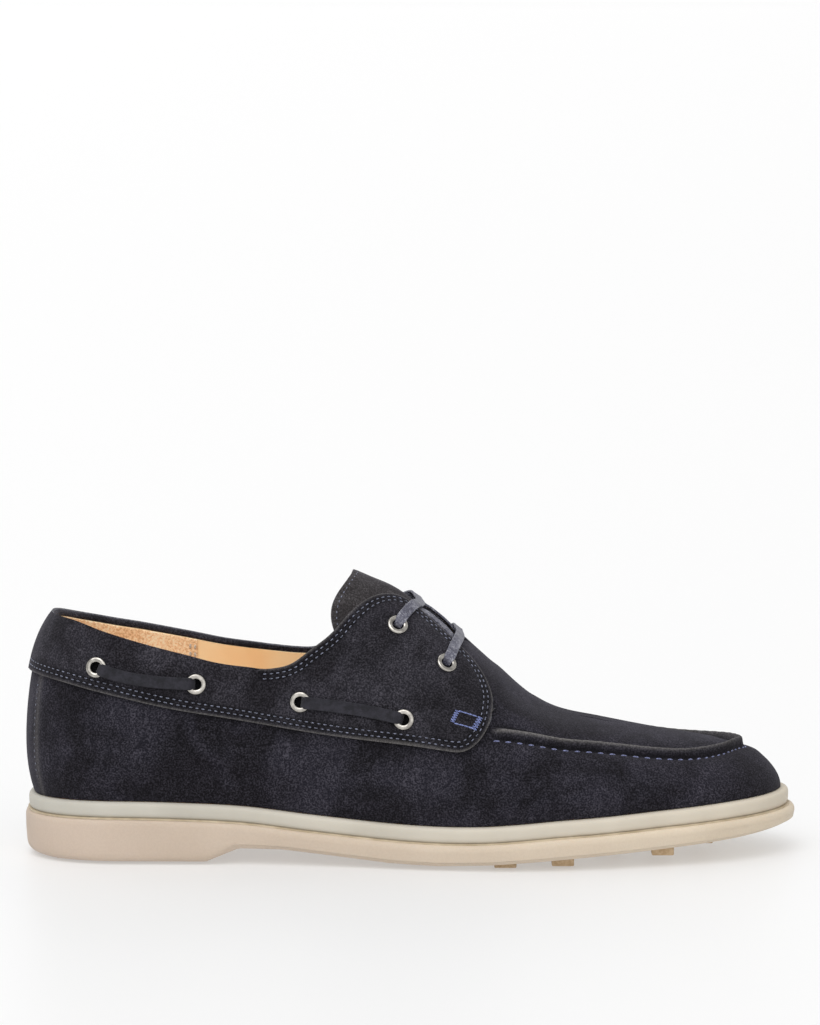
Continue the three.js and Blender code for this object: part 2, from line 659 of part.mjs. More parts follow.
function barPath(place, lean) {
  const half = BAR_PARTS.map((part) => {
    const dip = THREE.MathUtils.smoothstep(part, BAR_DIPS_FROM, 1);
    const out = THREE.MathUtils.lerp(LACE_OVER, BAR_MIDDLE_OUT, dip);
    const x = place.x + lean * Math.sin(part * Math.PI / 2);
    return { x, turn: THREE.MathUtils.lerp(place.turn, 90, part), out };
  });
  const outer = half.map(({ x, turn, out }) => lacePlace(x, turn, 'outer', out));
  const inner = half.slice(0, -1).reverse().map(({ x, turn, out }) => lacePlace(x, turn, 'inner', out));
  return [...outer, ...inner];
}

// the run that lies on the tongue between the two bars
const RUN = [
  { x: 152.8, out: 1.8 }, { x: 155, out: 0.2 }, { x: 159.5, out: -0.4 }, { x: 164.5, out: 0.2 },
  { x: 167, out: 1.8 },
];
const RUN_TURN = 79;

function runPath(side) {
  return RUN.map(({ x, out }) => lacePlace(x, RUN_TURN, side, out));
}

function frontLace() {
  const bars = THROAT_EYELETS.map((place, i) => toSolid(flatLace(barPath(place, BAR_LEANS[i]))));
  const runs = ['outer', 'inner'].map((side) => toSolid(flatLace(runPath(side))));
  return toGeometry([...bars, ...runs].reduce((whole, piece) => whole.add(piece)));
}

// ---- the shoe ----

const SUEDE = { color: 0x26242c, roughness: 0.95, metalness: 0 };
const FINISH = {
  suede: SUEDE,
  bandSuede: { ...SUEDE, color: 0x2a2831 },
  tongueSuede: { ...SUEDE, color: 0x34302e },
  outsoleRubber: { color: 0xe1cdb4, roughness: 0.6, metalness: 0 },
  midsoleRubber: { color: 0xc8c6b9, roughness: 0.65, metalness: 0 },
  lining: { color: 0xe1af73, roughness: 0.6, metalness: 0 },
  nickel: { color: 0xd8d4cc, roughness: 0.25, metalness: 1 },
  waxedLace: { color: 0x6e7087, roughness: 0.45, metalness: 0 },
  strapLeather: { color: 0x28262e, roughness: 0.6, metalness: 0 },
};

const shoe = new THREE.Group();

function add(name, geometry, finish) {
  const mesh = new THREE.Mesh(geometry, new THREE.MeshStandardMaterial(FINISH[finish]));
  mesh.name = name;
  shoe.add(mesh);
  return mesh;
}

add('outsole', outsole(), 'outsoleRubber');
add('welt_midsole', midsole(), 'midsoleRubber');
add('insole', insole(), 'lining');
add('upper', upper(), 'suede');
add('collar_band', collarBand(), 'bandSuede');
add('tongue', tongue(), 'tongueSuede');
add('front_lace', frontLace(), 'waxedLace');

for (const side of ['outer', 'inner']) {
  const rows = [['throat', THROAT_EYELETS], ['side', SIDE_EYELETS]];
  for (const [row, places] of rows) {
    places.forEach((place, i) => {
      const ring = eyelet(place, side);
      const mesh = add(`${row}_eyelet_${side}_${i + 1}`, ring.geometry, 'nickel');
      mesh.position.copy(ring.seat);
      mesh.quaternion.copy(ring.upright);
    });
  }
  add(`side_lace_${side}_back`, sideStrap(SIDE_EYELETS[0], SIDE_EYELETS[1], side), 'strapLeather');
  add(`side_lace_${side}_front`, sideStrap(SIDE_EYELETS[2], SIDE_EYELETS[3], side), 'strapLeather');
}

// the origin is under the middle of the shoe, on the floor
const extent = new THREE.Box3().setFromObject(shoe, true);
const middle = extent.getCenter(new THREE.Vector3());
shoe.position.set(-middle.x, -middle.y, -extent.min.z);

export default shoe;
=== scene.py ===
"""Looks of a right boat shoe: a dark suede upper, stitched on a cream rubber sole.

Sizes are in millimetres: x runs from the heel to the toe, -y is the outer side of the foot, z is up.
A place on the last is a way round it (0 at the heel, then along the outer side, PI at the toe and back
along the inner side) and a turn up it (0 at the feather line, 90 on the top line).
"""

import math

import bpy
import numpy as np
from mathutils import Matrix, Vector
from mathutils.kdtree import KDTree


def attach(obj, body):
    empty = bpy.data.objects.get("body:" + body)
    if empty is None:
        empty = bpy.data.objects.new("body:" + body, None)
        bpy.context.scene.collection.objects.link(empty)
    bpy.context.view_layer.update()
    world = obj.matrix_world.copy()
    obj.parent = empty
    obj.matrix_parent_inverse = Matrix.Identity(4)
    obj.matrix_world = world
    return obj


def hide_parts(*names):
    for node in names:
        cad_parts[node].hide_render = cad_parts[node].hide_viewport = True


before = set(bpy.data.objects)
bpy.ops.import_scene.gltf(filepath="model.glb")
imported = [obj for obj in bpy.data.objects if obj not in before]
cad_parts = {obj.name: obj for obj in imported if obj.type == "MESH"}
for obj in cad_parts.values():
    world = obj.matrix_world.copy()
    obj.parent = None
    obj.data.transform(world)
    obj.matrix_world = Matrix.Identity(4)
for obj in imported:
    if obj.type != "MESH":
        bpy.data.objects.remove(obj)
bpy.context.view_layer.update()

MM = 0.001
HEEL_END = np.array([-149.5, -2.0, 0.0])     # where the outsole's heel end lies in the frame


# ---- the last ----

def table(names, *rows):
    """A table with one array for each named column."""
    return dict(zip(names.split(), np.array(rows, float).T))


def smooth(rows, key):
    """A smooth function of x through one column of a table."""
    xs, ys = rows["x"], rows[key]
    gap = np.diff(xs)
    slope = np.diff(ys) / gap
    tangent = np.concatenate([
        slope[:1], (slope[:-1] * gap[1:] + slope[1:] * gap[:-1]) / (gap[:-1] + gap[1:]), slope[-1:]])

    def value(x):
        x = np.clip(x, xs[0], xs[-1])
        i = np.clip(np.searchsorted(xs, x, side="right") - 1, 0, len(xs) - 2)
        t = (x - xs[i]) / gap[i]
        return ((1 + 2 * t) * (1 - t) ** 2 * ys[i] + t * (1 - t) ** 2 * gap[i] * tangent[i]
                + t * t * (3 - 2 * t) * ys[i + 1] + t * t * (t - 1) * gap[i] * tangent[i + 1])
    return value


HEEL_X, TOE_X = 3.3, 293.5
HEEL_ROUND, HEEL_POWER = 36, 2.2
TOE_ROUND, TOE_POWER = 40, 2
HEEL_FAN = {"from": 60, "reach": 25}
TOE_FAN = {"from": 225, "reach": 51, "end": 0.5}

LAST = table(
    "x centre half feather spine full bulge",
    (3.3, 0, 32, 24, 102, 2.8, 3.4), (30, 0, 32, 24.3, 102, 3.2, 3.0),
    (60, -0.5, 31.8, 23.8, 106, 3.2, 2.4), (85, -1.8, 31, 22.6, 110, 2.9, 2.0),
    (110, -3.2, 32.5, 20, 111, 2.6, 2.0), (127, -3.2, 35.5, 18.5, 109, 2.45, 2.0),
    (145, -2.2, 40, 17.2, 102.5, 2.4, 2.0), (165, -0.4, 45, 16.6, 87.4, 2.35, 2.0),
    (180, 0.8, 47.8, 17, 73.8, 2.35, 2.0), (192, 1.6, 48.9, 17.9, 62.9, 2.3, 1.9),
    (205, 2.4, 48.8, 19, 54.9, 2.25, 1.8), (222, 3.6, 46.8, 19.9, 50.3, 2.2, 1.6),
    (245, 5.4, 41.8, 21.4, 45.9, 2.1, 1.2), (268, 7.2, 36.8, 22.8, 42, 1.9, 0.6),
    (293.5, 8.5, 33.5, 24, 36, 1.62, 0.2))
RIM = table(
    "x outer inner",
    (3.3, 53.2, 53.2), (16, 50.7, 48.2), (31, 45.8, 44), (44, 42.1, 41.5), (62, 37.8, 38.1),
    (77, 34.7, 35.6), (86, 33.9, 34.8), (96, 33.8, 34.3), (104.5, 35.7, 34.2), (111, 39.5, 34.6),
    (120, 46, 37.5), (127, 54.5, 43), (134, 63, 51), (139, 68, 58), (144, 71.5, 64.5), (149, 72, 69),
    (154, 70.5, 70.5), (160, 69, 69.5), (169, 66.5, 66.5), (175, 64, 64), (184, 59.5, 59.5))
BAND_LOW = table(
    "x turn",
    (3.3, 33.9), (13, 32.6), (32, 29.1), (57, 24.6), (85, 21.2), (108, 19.8), (128, 19.6), (148, 20.8),
    (163, 22.8), (171, 24.2), (184, 28))
APRON = table(
    "x turn",
    (160, 27), (179.5, 36.5), (195, 45.2), (211, 50.4), (228, 52.6), (245, 52.8), (258, 55.2), (274, 65),
    (286, 79), (293.5, 86))
TREAD = table(
    "x z",
    (0, 1.4), (12, 0.8), (71, 0.8), (83.5, 6.0), (100, 5.9), (118, 4.2), (142, 1.9), (160, 1.3),
    (180, 2.0), (210, 4.2), (241, 6.3), (273, 8.8), (299, 11.6))

centre_of, half_of, feather_of = smooth(LAST, "centre"), smooth(LAST, "half"), smooth(LAST, "feather")
spine_of, full_of, bulge_of = smooth(LAST, "spine"), smooth(LAST, "full"), smooth(LAST, "bulge")
outer_rim_of, inner_rim_of = smooth(RIM, "outer"), smooth(RIM, "inner")
band_low_of, apron_of = smooth(BAND_LOW, "turn"), smooth(APRON, "turn")


def tread_of(x):
    return np.interp(x, TREAD["x"], TREAD["z"])


def ease(value, start, end):
    """A smooth step from 0 at start to 1 at end."""
    t = np.clip((value - start) / (end - start), 0, 1)
    return t * t * (3 - 2 * t)


def round_off(into, power):
    """1 before a rounded end, down along an ellipse to 0 at its tip."""
    return np.maximum(0, 1 - np.clip(into, 0, None) ** power) ** (1 / power)


def half_width(x):
    heel = round_off((HEEL_X + HEEL_ROUND - x) / HEEL_ROUND, HEEL_POWER)
    toe = round_off((x - TOE_X + TOE_ROUND) / TOE_ROUND, TOE_POWER)
    return half_of(x) * heel * toe


def top_station(x):
    """Where on the top line the section that starts at station x ends: sections fan at heel and toe."""
    heel_long = HEEL_FAN["from"] - HEEL_X
    back = np.clip((HEEL_FAN["from"] - x) / heel_long, 0, 1)
    heel = HEEL_FAN["from"] - HEEL_FAN["reach"] * (1 - (1 - back) ** (heel_long / HEEL_FAN["reach"]))
    toe_long = TOE_X - TOE_FAN["from"]
    on = np.clip((x - TOE_FAN["from"]) / toe_long, 0, 1)
    start, end = toe_long / TOE_FAN["reach"], TOE_FAN["end"]
    shape = start * on + (3 - 2 * start - end) * on ** 2 + (start + end - 2) * on ** 3
    toe = TOE_FAN["from"] + TOE_FAN["reach"] * shape
    return np.where(x < HEEL_FAN["from"], heel, np.where(x > TOE_FAN["from"], toe, x))


def station_of(way):
    return HEEL_X + (TOE_X - HEEL_X) * (1 - np.cos(way)) / 2


def way_of(x, side=-1):
    """The way at station x, on the outer side (-1) or the inner one (+1)."""
    way = np.arccos(np.clip(1 - 2 * (x - HEEL_X) / (TOE_X - HEEL_X), -1, 1))
    return -side * way


def rim_of(way):
    """The turn of the quarters' top edge, which rises to the eyestay further forward on the inner side."""
    x = station_of(way)
    return np.where(np.sin(way) >= 0, outer_rim_of(x), inner_rim_of(x))


def foot_line(way):
    x = station_of(way)
    side = np.where(np.sin(way) >= 0, -1.0, 1.0)
    return np.stack([x, centre_of(x) + side * half_width(x), feather_of(x)], -1)


def bare_last(way, turn):
    foot = foot_line(way)
    x, y, z = foot[..., 0], foot[..., 1], foot[..., 2]
    top, full = top_station(x), full_of(x)
    out, up = np.maximum(0, np.cos(np.radians(turn))), np.sin(np.radians(turn))
    reach = (out ** full + up ** full) ** (1 / full)
    rise = up / reach
    inward = np.stack([top - x, centre_of(top) - y], -1)
    length = np.linalg.norm(inward, axis=-1)
    travel = length * (1 - out / reach) - bulge_of(x) * (1 - (2 * rise - 1) ** 4)
    step = inward * (travel / length)[..., None]
    return np.stack([x + step[..., 0], y + step[..., 1], z + (spine_of(top) - z) * rise], -1)


def unit(vectors):
    return vectors / np.maximum(np.linalg.norm(vectors, axis=-1, keepdims=True), 1e-12)


WAY_STEP, TURN_STEP = 0.004, 0.2
TOP_TURN = 89.98


def facing(way, turn):
    """The way that the last's surface faces."""
    way, turn = np.broadcast_arrays(np.asarray(way, float), np.asarray(turn, float))
    along = bare_last(way + WAY_STEP, turn) - bare_last(way - WAY_STEP, turn)
    low = np.clip(turn - TURN_STEP, 0, 90 - 2 * TURN_STEP)
    side = unit(np.cross(along, bare_last(way, low + 2 * TURN_STEP) - bare_last(way, low)))
    x = top_station(station_of(way))
    top = unit(np.stack([(spine_of(x - 1) - spine_of(x + 1)) / 2, 0 * x, 1 + 0 * x], -1))
    return np.where((turn >= TOP_TURN)[..., None], top, side)


def stand(way, turn, out=0.0):
    """Points that stand so far off the last."""
    way, turn, out = np.broadcast_arrays(np.asarray(way, float), np.asarray(turn, float), out)
    on = np.where(turn >= TOP_TURN, 90.0, turn)
    return bare_last(way, on) + facing(way, on) * out[..., None]


def per_degree(way):
    """Length round the section that one degree of turn covers."""
    foot = foot_line(way)
    top = top_station(foot[..., 0])
    across = np.hypot(top - foot[..., 0], centre_of(top) - foot[..., 1])
    return 0.8 * (across + spine_of(top) - foot[..., 2]) / 90


# ---- the suede's own relief ----

UPPER_WALL = 2.0
SUEDE_THICK = 1.0
GAP = 0.3
BAND_THICK = 1.4
BAND_FACE = GAP + BAND_THICK
THROAT_X, THROAT_ROUND = 173, 8
BAND_FRONT = 180
RIDGE = {"from": 180.2, "blend": 4, "side_high": 2.2, "toe_high": 3.3, "side_low": 1.8, "toe_low": 1.2,
         "up": 1.1, "plug": 0.45}
SEAM_BELOW = {"side": 3.6, "toe": 2.7}     # the hand stitches lie this far below the ridge's crest

# soft creases and swells: side -1 outer, +1 inner; long and wide are half sizes,
# lean is degrees up from level, and deep is below 0 for a trough
CREASES = table(
    "x turn side long wide lean deep",
    (192, 72, -1, 10, 4.0, 62, -0.55), (201, 76, -1, 12, 4.5, 55, -0.45), (214, 82, -1, 14, 5.0, 40, -0.3),
    (193, 74, 1, 11, 4.0, 60, -0.5), (205, 79, 1, 12, 4.5, 50, -0.4), (226, 70, 1, 14, 6.0, 20, 0.3),
    (206, 26, -1, 20, 7.0, 8, -0.5), (232, 30, -1, 18, 6.0, -6, 0.45), (186, 20, -1, 12, 5.0, 70, -0.45),
    (176, 14, -1, 10, 4.0, 75, 0.4), (206, 24, 1, 18, 7.0, 10, -0.5), (188, 18, 1, 12, 5.0, 72, -0.45),
    (258, 34, -1, 14, 7.0, 10, -0.35), (262, 32, 1, 14, 7.0, -10, -0.35), (277, 40, -1, 8, 6.0, 80, 0.3),
    (150, 12, -1, 20, 5.0, 4, 0.4), (120, 12, -1, 22, 6.0, -5, -0.5), (88, 14, -1, 20, 6.0, 6, 0.45),
    (58, 13, -1, 16, 6.0, -8, -0.45), (36, 18, -1, 14, 7.0, 70, 0.4), (18, 16, -1, 10, 6.0, 65, -0.35),
    (118, 12, 1, 24, 7.0, 5, -0.5), (84, 14, 1, 20, 6.0, -6, 0.4), (50, 14, 1, 16, 6.0, 8, -0.4),
    (24, 18, 1, 12, 6.0, 70, 0.35), (140, 42, -1, 12, 6.0, 50, 0.35), (122, 36, -1, 12, 4.0, 35, -0.35),
    (104, 27, -1, 12, 5.0, 12, -0.3), (140, 42, 1, 12, 6.0, 50, 0.35), (122, 36, 1, 12, 4.0, 35, -0.35))


def creased(way, turn):
    """How far the soft creases and swells lift the suede."""
    x = station_of(way)
    arc = per_degree(way)
    side = np.where(np.sin(way) >= 0, -1.0, 1.0)
    lift = np.zeros(np.broadcast(way, turn).shape)
    for i in range(len(CREASES["x"])):
        row = {key: column[i] for key, column in CREASES.items()}
        ahead, above = x - row["x"], (turn - row["turn"]) * arc
        lean = math.radians(row["lean"])
        on = (ahead * math.cos(lean) + above * math.sin(lean)) / row["long"]
        off = (above * math.cos(lean) - ahead * math.sin(lean)) / row["wide"]
        lift += np.where(side == row["side"], row["deep"] * np.exp(-on ** 2 - off ** 2), 0)
    return lift * ease(x, HEEL_X, HEEL_X + 12) * ease(TOE_X - x, 0, 10)


def ridge_high(x):
    return RIDGE["side_high"] + (RIDGE["toe_high"] - RIDGE["side_high"]) * ease(x, 250, 288)


def seam_below(x):
    return SEAM_BELOW["side"] + (SEAM_BELOW["toe"] - SEAM_BELOW["side"]) * ease(x, 262, 285)


def apron_away(way, turn):
    """How far over the surface a place lies above the crest of the apron's ridge."""
    return (turn - apron_of(station_of(way))) * per_degree(way)


def apron_rise(way, turn):
    """The apron's hand-sewn ridge, the groove at its foot and the plug inside it."""
    x = station_of(way)
    away = apron_away(way, turn)
    low = RIDGE["side_low"] + (RIDGE["toe_low"] - RIDGE["side_low"]) * ease(x, 262, 288)
    wide = np.where(away < 0, low, RIDGE["up"])
    crest = ridge_high(x) * np.exp(-np.abs(away / wide) ** 2.6)
    below = away + seam_below(x)
    groove = -0.4 * np.exp(-(below / 0.8) ** 2)
    swell = 0.35 * np.exp(-((below + 4.5) / 3.0) ** 2)
    plug = RIDGE["plug"] * ease(away, 1.5, 8)
    gathers = 0.10 * np.sin(x * 1.37) * np.exp(-((away + 1.5) / 2.5) ** 2)
    return ease(x, RIDGE["from"], RIDGE["from"] + RIDGE["blend"]) * (crest + plug + groove + swell + gathers)


def suede_out(way, turn):
    return apron_rise(way, turn) + creased(way, turn)


# ---- lines on the last ----

def band_top(way):
    into = (station_of(way) - BAND_FRONT + 9) / 9
    return 49 + (rim_of(way) - 49) * round_off(into, 2)


def band_bottom(way):
    x = station_of(way)
    return 49 - (49 - band_low_of(x)) * round_off((x - BAND_FRONT + 15) / 15, 2.3)


def throat_edge(way):
    """The turn at which the upper ends."""
    x = station_of(way)
    into = (x - THROAT_X + THROAT_ROUND) / THROAT_ROUND
    return np.where(x > THROAT_X - 0.01, 90.0, 90 - (90 - rim_of(way)) * round_off(into, 2))


class Line:
    """A line on the last, as arrays of way and turn, with the length along it."""

    def __init__(self, way, turn):
        self.way, self.turn = np.asarray(way, float), np.asarray(turn, float)
        self.points = stand(self.way, self.turn)
        steps = np.linalg.norm(np.diff(self.points, axis=0), axis=1)
        self.length = np.concatenate([[0], np.cumsum(steps)])

    def at(self, length):
        return np.interp(length, self.length, self.way), np.interp(length, self.length, self.turn)

    def even(self, spacing):
        count = max(2, int(round(self.length[-1] / spacing)))
        return Line(*self.at(np.linspace(0, self.length[-1], count + 1)))

    def moved(self, distance):
        """The same line, moved over the surface to the left of its run, seen from outside."""
        steps = max(1, math.ceil(abs(distance) / 0.7))
        line = self
        for _ in range(steps):
            line = line.nudged(distance / steps)
        return line

    def nudged(self, distance):
        run = unit(np.gradient(self.points, axis=0))
        aside = np.cross(facing(self.way, self.turn), run) * distance
        by_way = stand(self.way + WAY_STEP, self.turn) - stand(self.way - WAY_STEP, self.turn)
        by_turn = stand(self.way, self.turn + TURN_STEP) - stand(self.way, self.turn - TURN_STEP)
        by_way, by_turn = by_way / (2 * WAY_STEP), by_turn / (2 * TURN_STEP)
        aa, bb, ab = (by_way ** 2).sum(1), (by_turn ** 2).sum(1), (by_way * by_turn).sum(1)
        a, b = (aside * by_way).sum(1), (aside * by_turn).sum(1)
        square = aa * bb - ab ** 2
        return Line(self.way + (a * bb - b * ab) / square, self.turn + (b * aa - a * ab) / square)


def rounded_stations(start, end, round_long, spacing):
    """Stations from start to end, closer together over the last stretch, which is rounded."""
    straight = np.arange(start, end - round_long, spacing)
    corner = np.sin(np.linspace(0, math.pi / 2, int(1.6 * round_long / spacing)))
    return np.concatenate([straight, end - round_long + round_long * corner])


def band_outline(side):
    """Along the lower edge from the heel, up round the front corner and back along the top edge."""
    low = way_of(rounded_stations(HEEL_X + 0.05, BAND_FRONT, 15, 0.5), side)
    top = way_of(rounded_stations(COLLAR_SEAM_X, BAND_FRONT, 9, 0.5)[::-1][1:], side)
    return Line(np.concatenate([low, top]), np.concatenate([band_bottom(low), band_top(top)]))


SIDES = {"outer": -1, "inner": 1}
COLLAR_SEAM_X = 92               # behind this station the collar is a plain folded edge
THREAD_ROWS = (2.0, 3.8)         # how far the two rows of stitches lie inside the band's edge
BAND_EDGES = [band_outline(side) for side in SIDES.values()]
BAND_ROWS = [band_outline(side).even(0.8).moved(-side * inside).even(0.8)
             for side in SIDES.values() for inside in THREAD_ROWS]


# ---- making pieces ----

def leave_edit():
    bpy.ops.object.mode_set(mode="OBJECT")


def bare():
    bpy.ops.object.select_all(action="DESELECT")


def only(piece):
    bare()
    piece.select_set(True)
    bpy.context.view_layer.objects.active = piece


def set_points(piece, points):
    piece.data.vertices.foreach_set("co", ((np.asarray(points) + HEEL_END) * MM).astype(np.float32).ravel())
    piece.data.update()


def pulled(name, across, up, place, **marks):
    """A flat grid of so many cells, pulled into its place by a function of its two shares.

    Each mark is a function of the same shares whose value is kept at every point for the finish."""
    bare()
    bpy.ops.mesh.primitive_grid_add(x_subdivisions=across, y_subdivisions=up, size=1)
    piece = bpy.context.object
    piece.name = piece.data.name = name
    flat = np.empty(len(piece.data.vertices) * 3, np.float32)
    piece.data.vertices.foreach_get("co", flat)
    flat = flat.reshape(-1, 3).astype(float) + 0.5
    u, v = np.round(flat[:, 0] * across) / across, np.round(flat[:, 1] * up) / up
    set_points(piece, place(u, v))
    for mark, share in marks.items():
        kept = piece.data.attributes.new(mark, "FLOAT", "POINT")
        kept.data.foreach_set("value", np.asarray(share(u, v), np.float32))
    return piece


def welded(piece, outward=False, within=0.01):
    """Points that coincide are joined, and a closed piece has its faces turned outwards."""
    only(piece)
    bpy.ops.object.mode_set(mode="EDIT")
    bpy.ops.mesh.select_all(action="SELECT")
    bpy.ops.mesh.remove_doubles(threshold=within * MM)
    if outward:
        bpy.ops.mesh.normals_make_consistent(inside=False)
    leave_edit()
    return piece


def finished(piece, kind, **settings):
    """Adds a modifier and applies it."""
    only(piece)
    bpy.ops.object.modifier_add(type=kind)
    modifier = piece.modifiers[-1]
    for key, value in settings.items():
        setattr(modifier, key, value)
    bpy.ops.object.modifier_apply(modifier=modifier.name)
    return piece


def walled(piece, thick, edge_slot=0, even=True):
    """Gives a skin its thickness, inwards."""
    return finished(piece, "SOLIDIFY", thickness=thick * MM, offset=-1, use_even_offset=even,
                    material_offset_rim=edge_slot)


def rounded(piece, width, segments=2, angle=50):
    return finished(piece, "BEVEL", width=width * MM, segments=segments, limit_method="ANGLE",
                    angle_limit=math.radians(angle))


def smoothed(piece, angle=50):
    only(piece)
    bpy.ops.object.shade_smooth_by_angle(angle=math.radians(angle))
    return piece


def coated(piece, *finishes):
    for finish in finishes:
        piece.data.materials.append(finish)
    return piece


def settled(piece):
    """Puts the piece's place into its mesh."""
    only(piece)
    bpy.ops.object.transform_apply(location=True, rotation=True, scale=True)
    return piece


def seat(way, turn, out, lean=0.0):
    """A place on the last as a matrix: x ahead along the shoe, turned by lean, and z outwards."""
    point = (stand(way, turn, out) + HEEL_END) * MM
    up = Vector(facing(way, turn))
    ahead = Vector(stand(way_of(station_of(way) + 0.5, side_of(way)), turn) - stand(way, turn))
    ahead = (ahead - up * ahead.dot(up)).normalized()
    ahead = Matrix.Rotation(math.radians(lean), 3, up) @ ahead
    return Matrix.Translation(Vector(point)) @ Matrix((ahead, up.cross(ahead), up)).transposed().to_4x4()


def side_of(way):
    return -1 if math.sin(way) >= 0 else 1


def seats_on(line, out, spacing, ends=0.0):
    """Evenly spaced seats along a line, each turned to run along it."""
    total = line.length[-1] - 2 * ends
    count = max(1, int(round(total / spacing)))
    middles = ends + (np.arange(count) + 0.5) * total / count
    way, turn = line.at(middles)
    ahead_way, ahead_turn = line.at(middles + 0.4)
    back_way, back_turn = line.at(middles - 0.4)
    points = (stand(way, turn, out(way, turn)) + HEEL_END) * MM
    ups = facing(way, turn)
    runs = stand(ahead_way, ahead_turn, out(ahead_way, ahead_turn)) \
        - stand(back_way, back_turn, out(back_way, back_turn))
    made = []
    for point, up, run in zip(points, ups, runs):
        run = Vector(run).normalized()
        up = Vector(up)
        up = (up - run * up.dot(run)).normalized()
        made.append(Matrix.Translation(Vector(point)) @ Matrix((run, up.cross(run), up)).transposed().to_4x4())
    return made


def many(name, model, seats, keep=False):
    """Copies of a model, each with its own mesh, put on their seats and joined into one piece."""
    bare()
    for place in seats:
        one = model.copy()
        one.data = model.data.copy()
        one.matrix_world = place @ model.matrix_world
        bpy.context.collection.objects.link(one)
        one.select_set(True)
    bpy.context.view_layer.objects.active = one
    bpy.ops.object.join()
    one.name = one.data.name = name
    if not keep:
        bpy.data.objects.remove(model)
    return settled(one)


def swept(name, spine, across, profile, sizes=1.0):
    """A bar along a spine, with a closed profile of (across, up) points and closed ends."""
    spine, across = np.asarray(spine), unit(np.asarray(across))
    run = unit(np.gradient(spine, axis=0))
    across = unit(across - run * (across * run).sum(1, keepdims=True))
    up = np.cross(across, run)
    profile = np.asarray(profile, float)
    sizes = np.broadcast_to(sizes, len(spine))
    last = len(spine) + 1

    def place(u, v):
        ring = np.clip(np.round(u * last).astype(int), 0, last)
        corner = np.round(v * len(profile)).astype(int) % len(profile)
        i = np.clip(ring - 1, 0, len(spine) - 1)
        size = np.where((ring == 0) | (ring == last), 0.0, sizes[i])[:, None]
        return spine[i] + size * (across[i] * profile[corner, :1] + up[i] * profile[corner, 1:])
    return welded(pulled(name, last, len(profile), place), outward=True)


def curve_through(rows, steps=10):
    """A smooth run of points through rows of numbers."""
    rows = np.asarray(rows, float)
    padded = np.concatenate([2 * rows[:1] - rows[1:2], rows, 2 * rows[-1:] - rows[-2:-1]])
    made = []
    for i in range(len(rows) - 1):
        a, b, c, d = padded[i:i + 4]
        for t in np.arange(steps) / steps:
            made.append(0.5 * (2 * b + (c - a) * t + (2 * a - 5 * b + 4 * c - d) * t * t
                               + (3 * b - a - 3 * c + d) * t ** 3))
    return np.array(made + [rows[-1]])


# ---- finishes ----

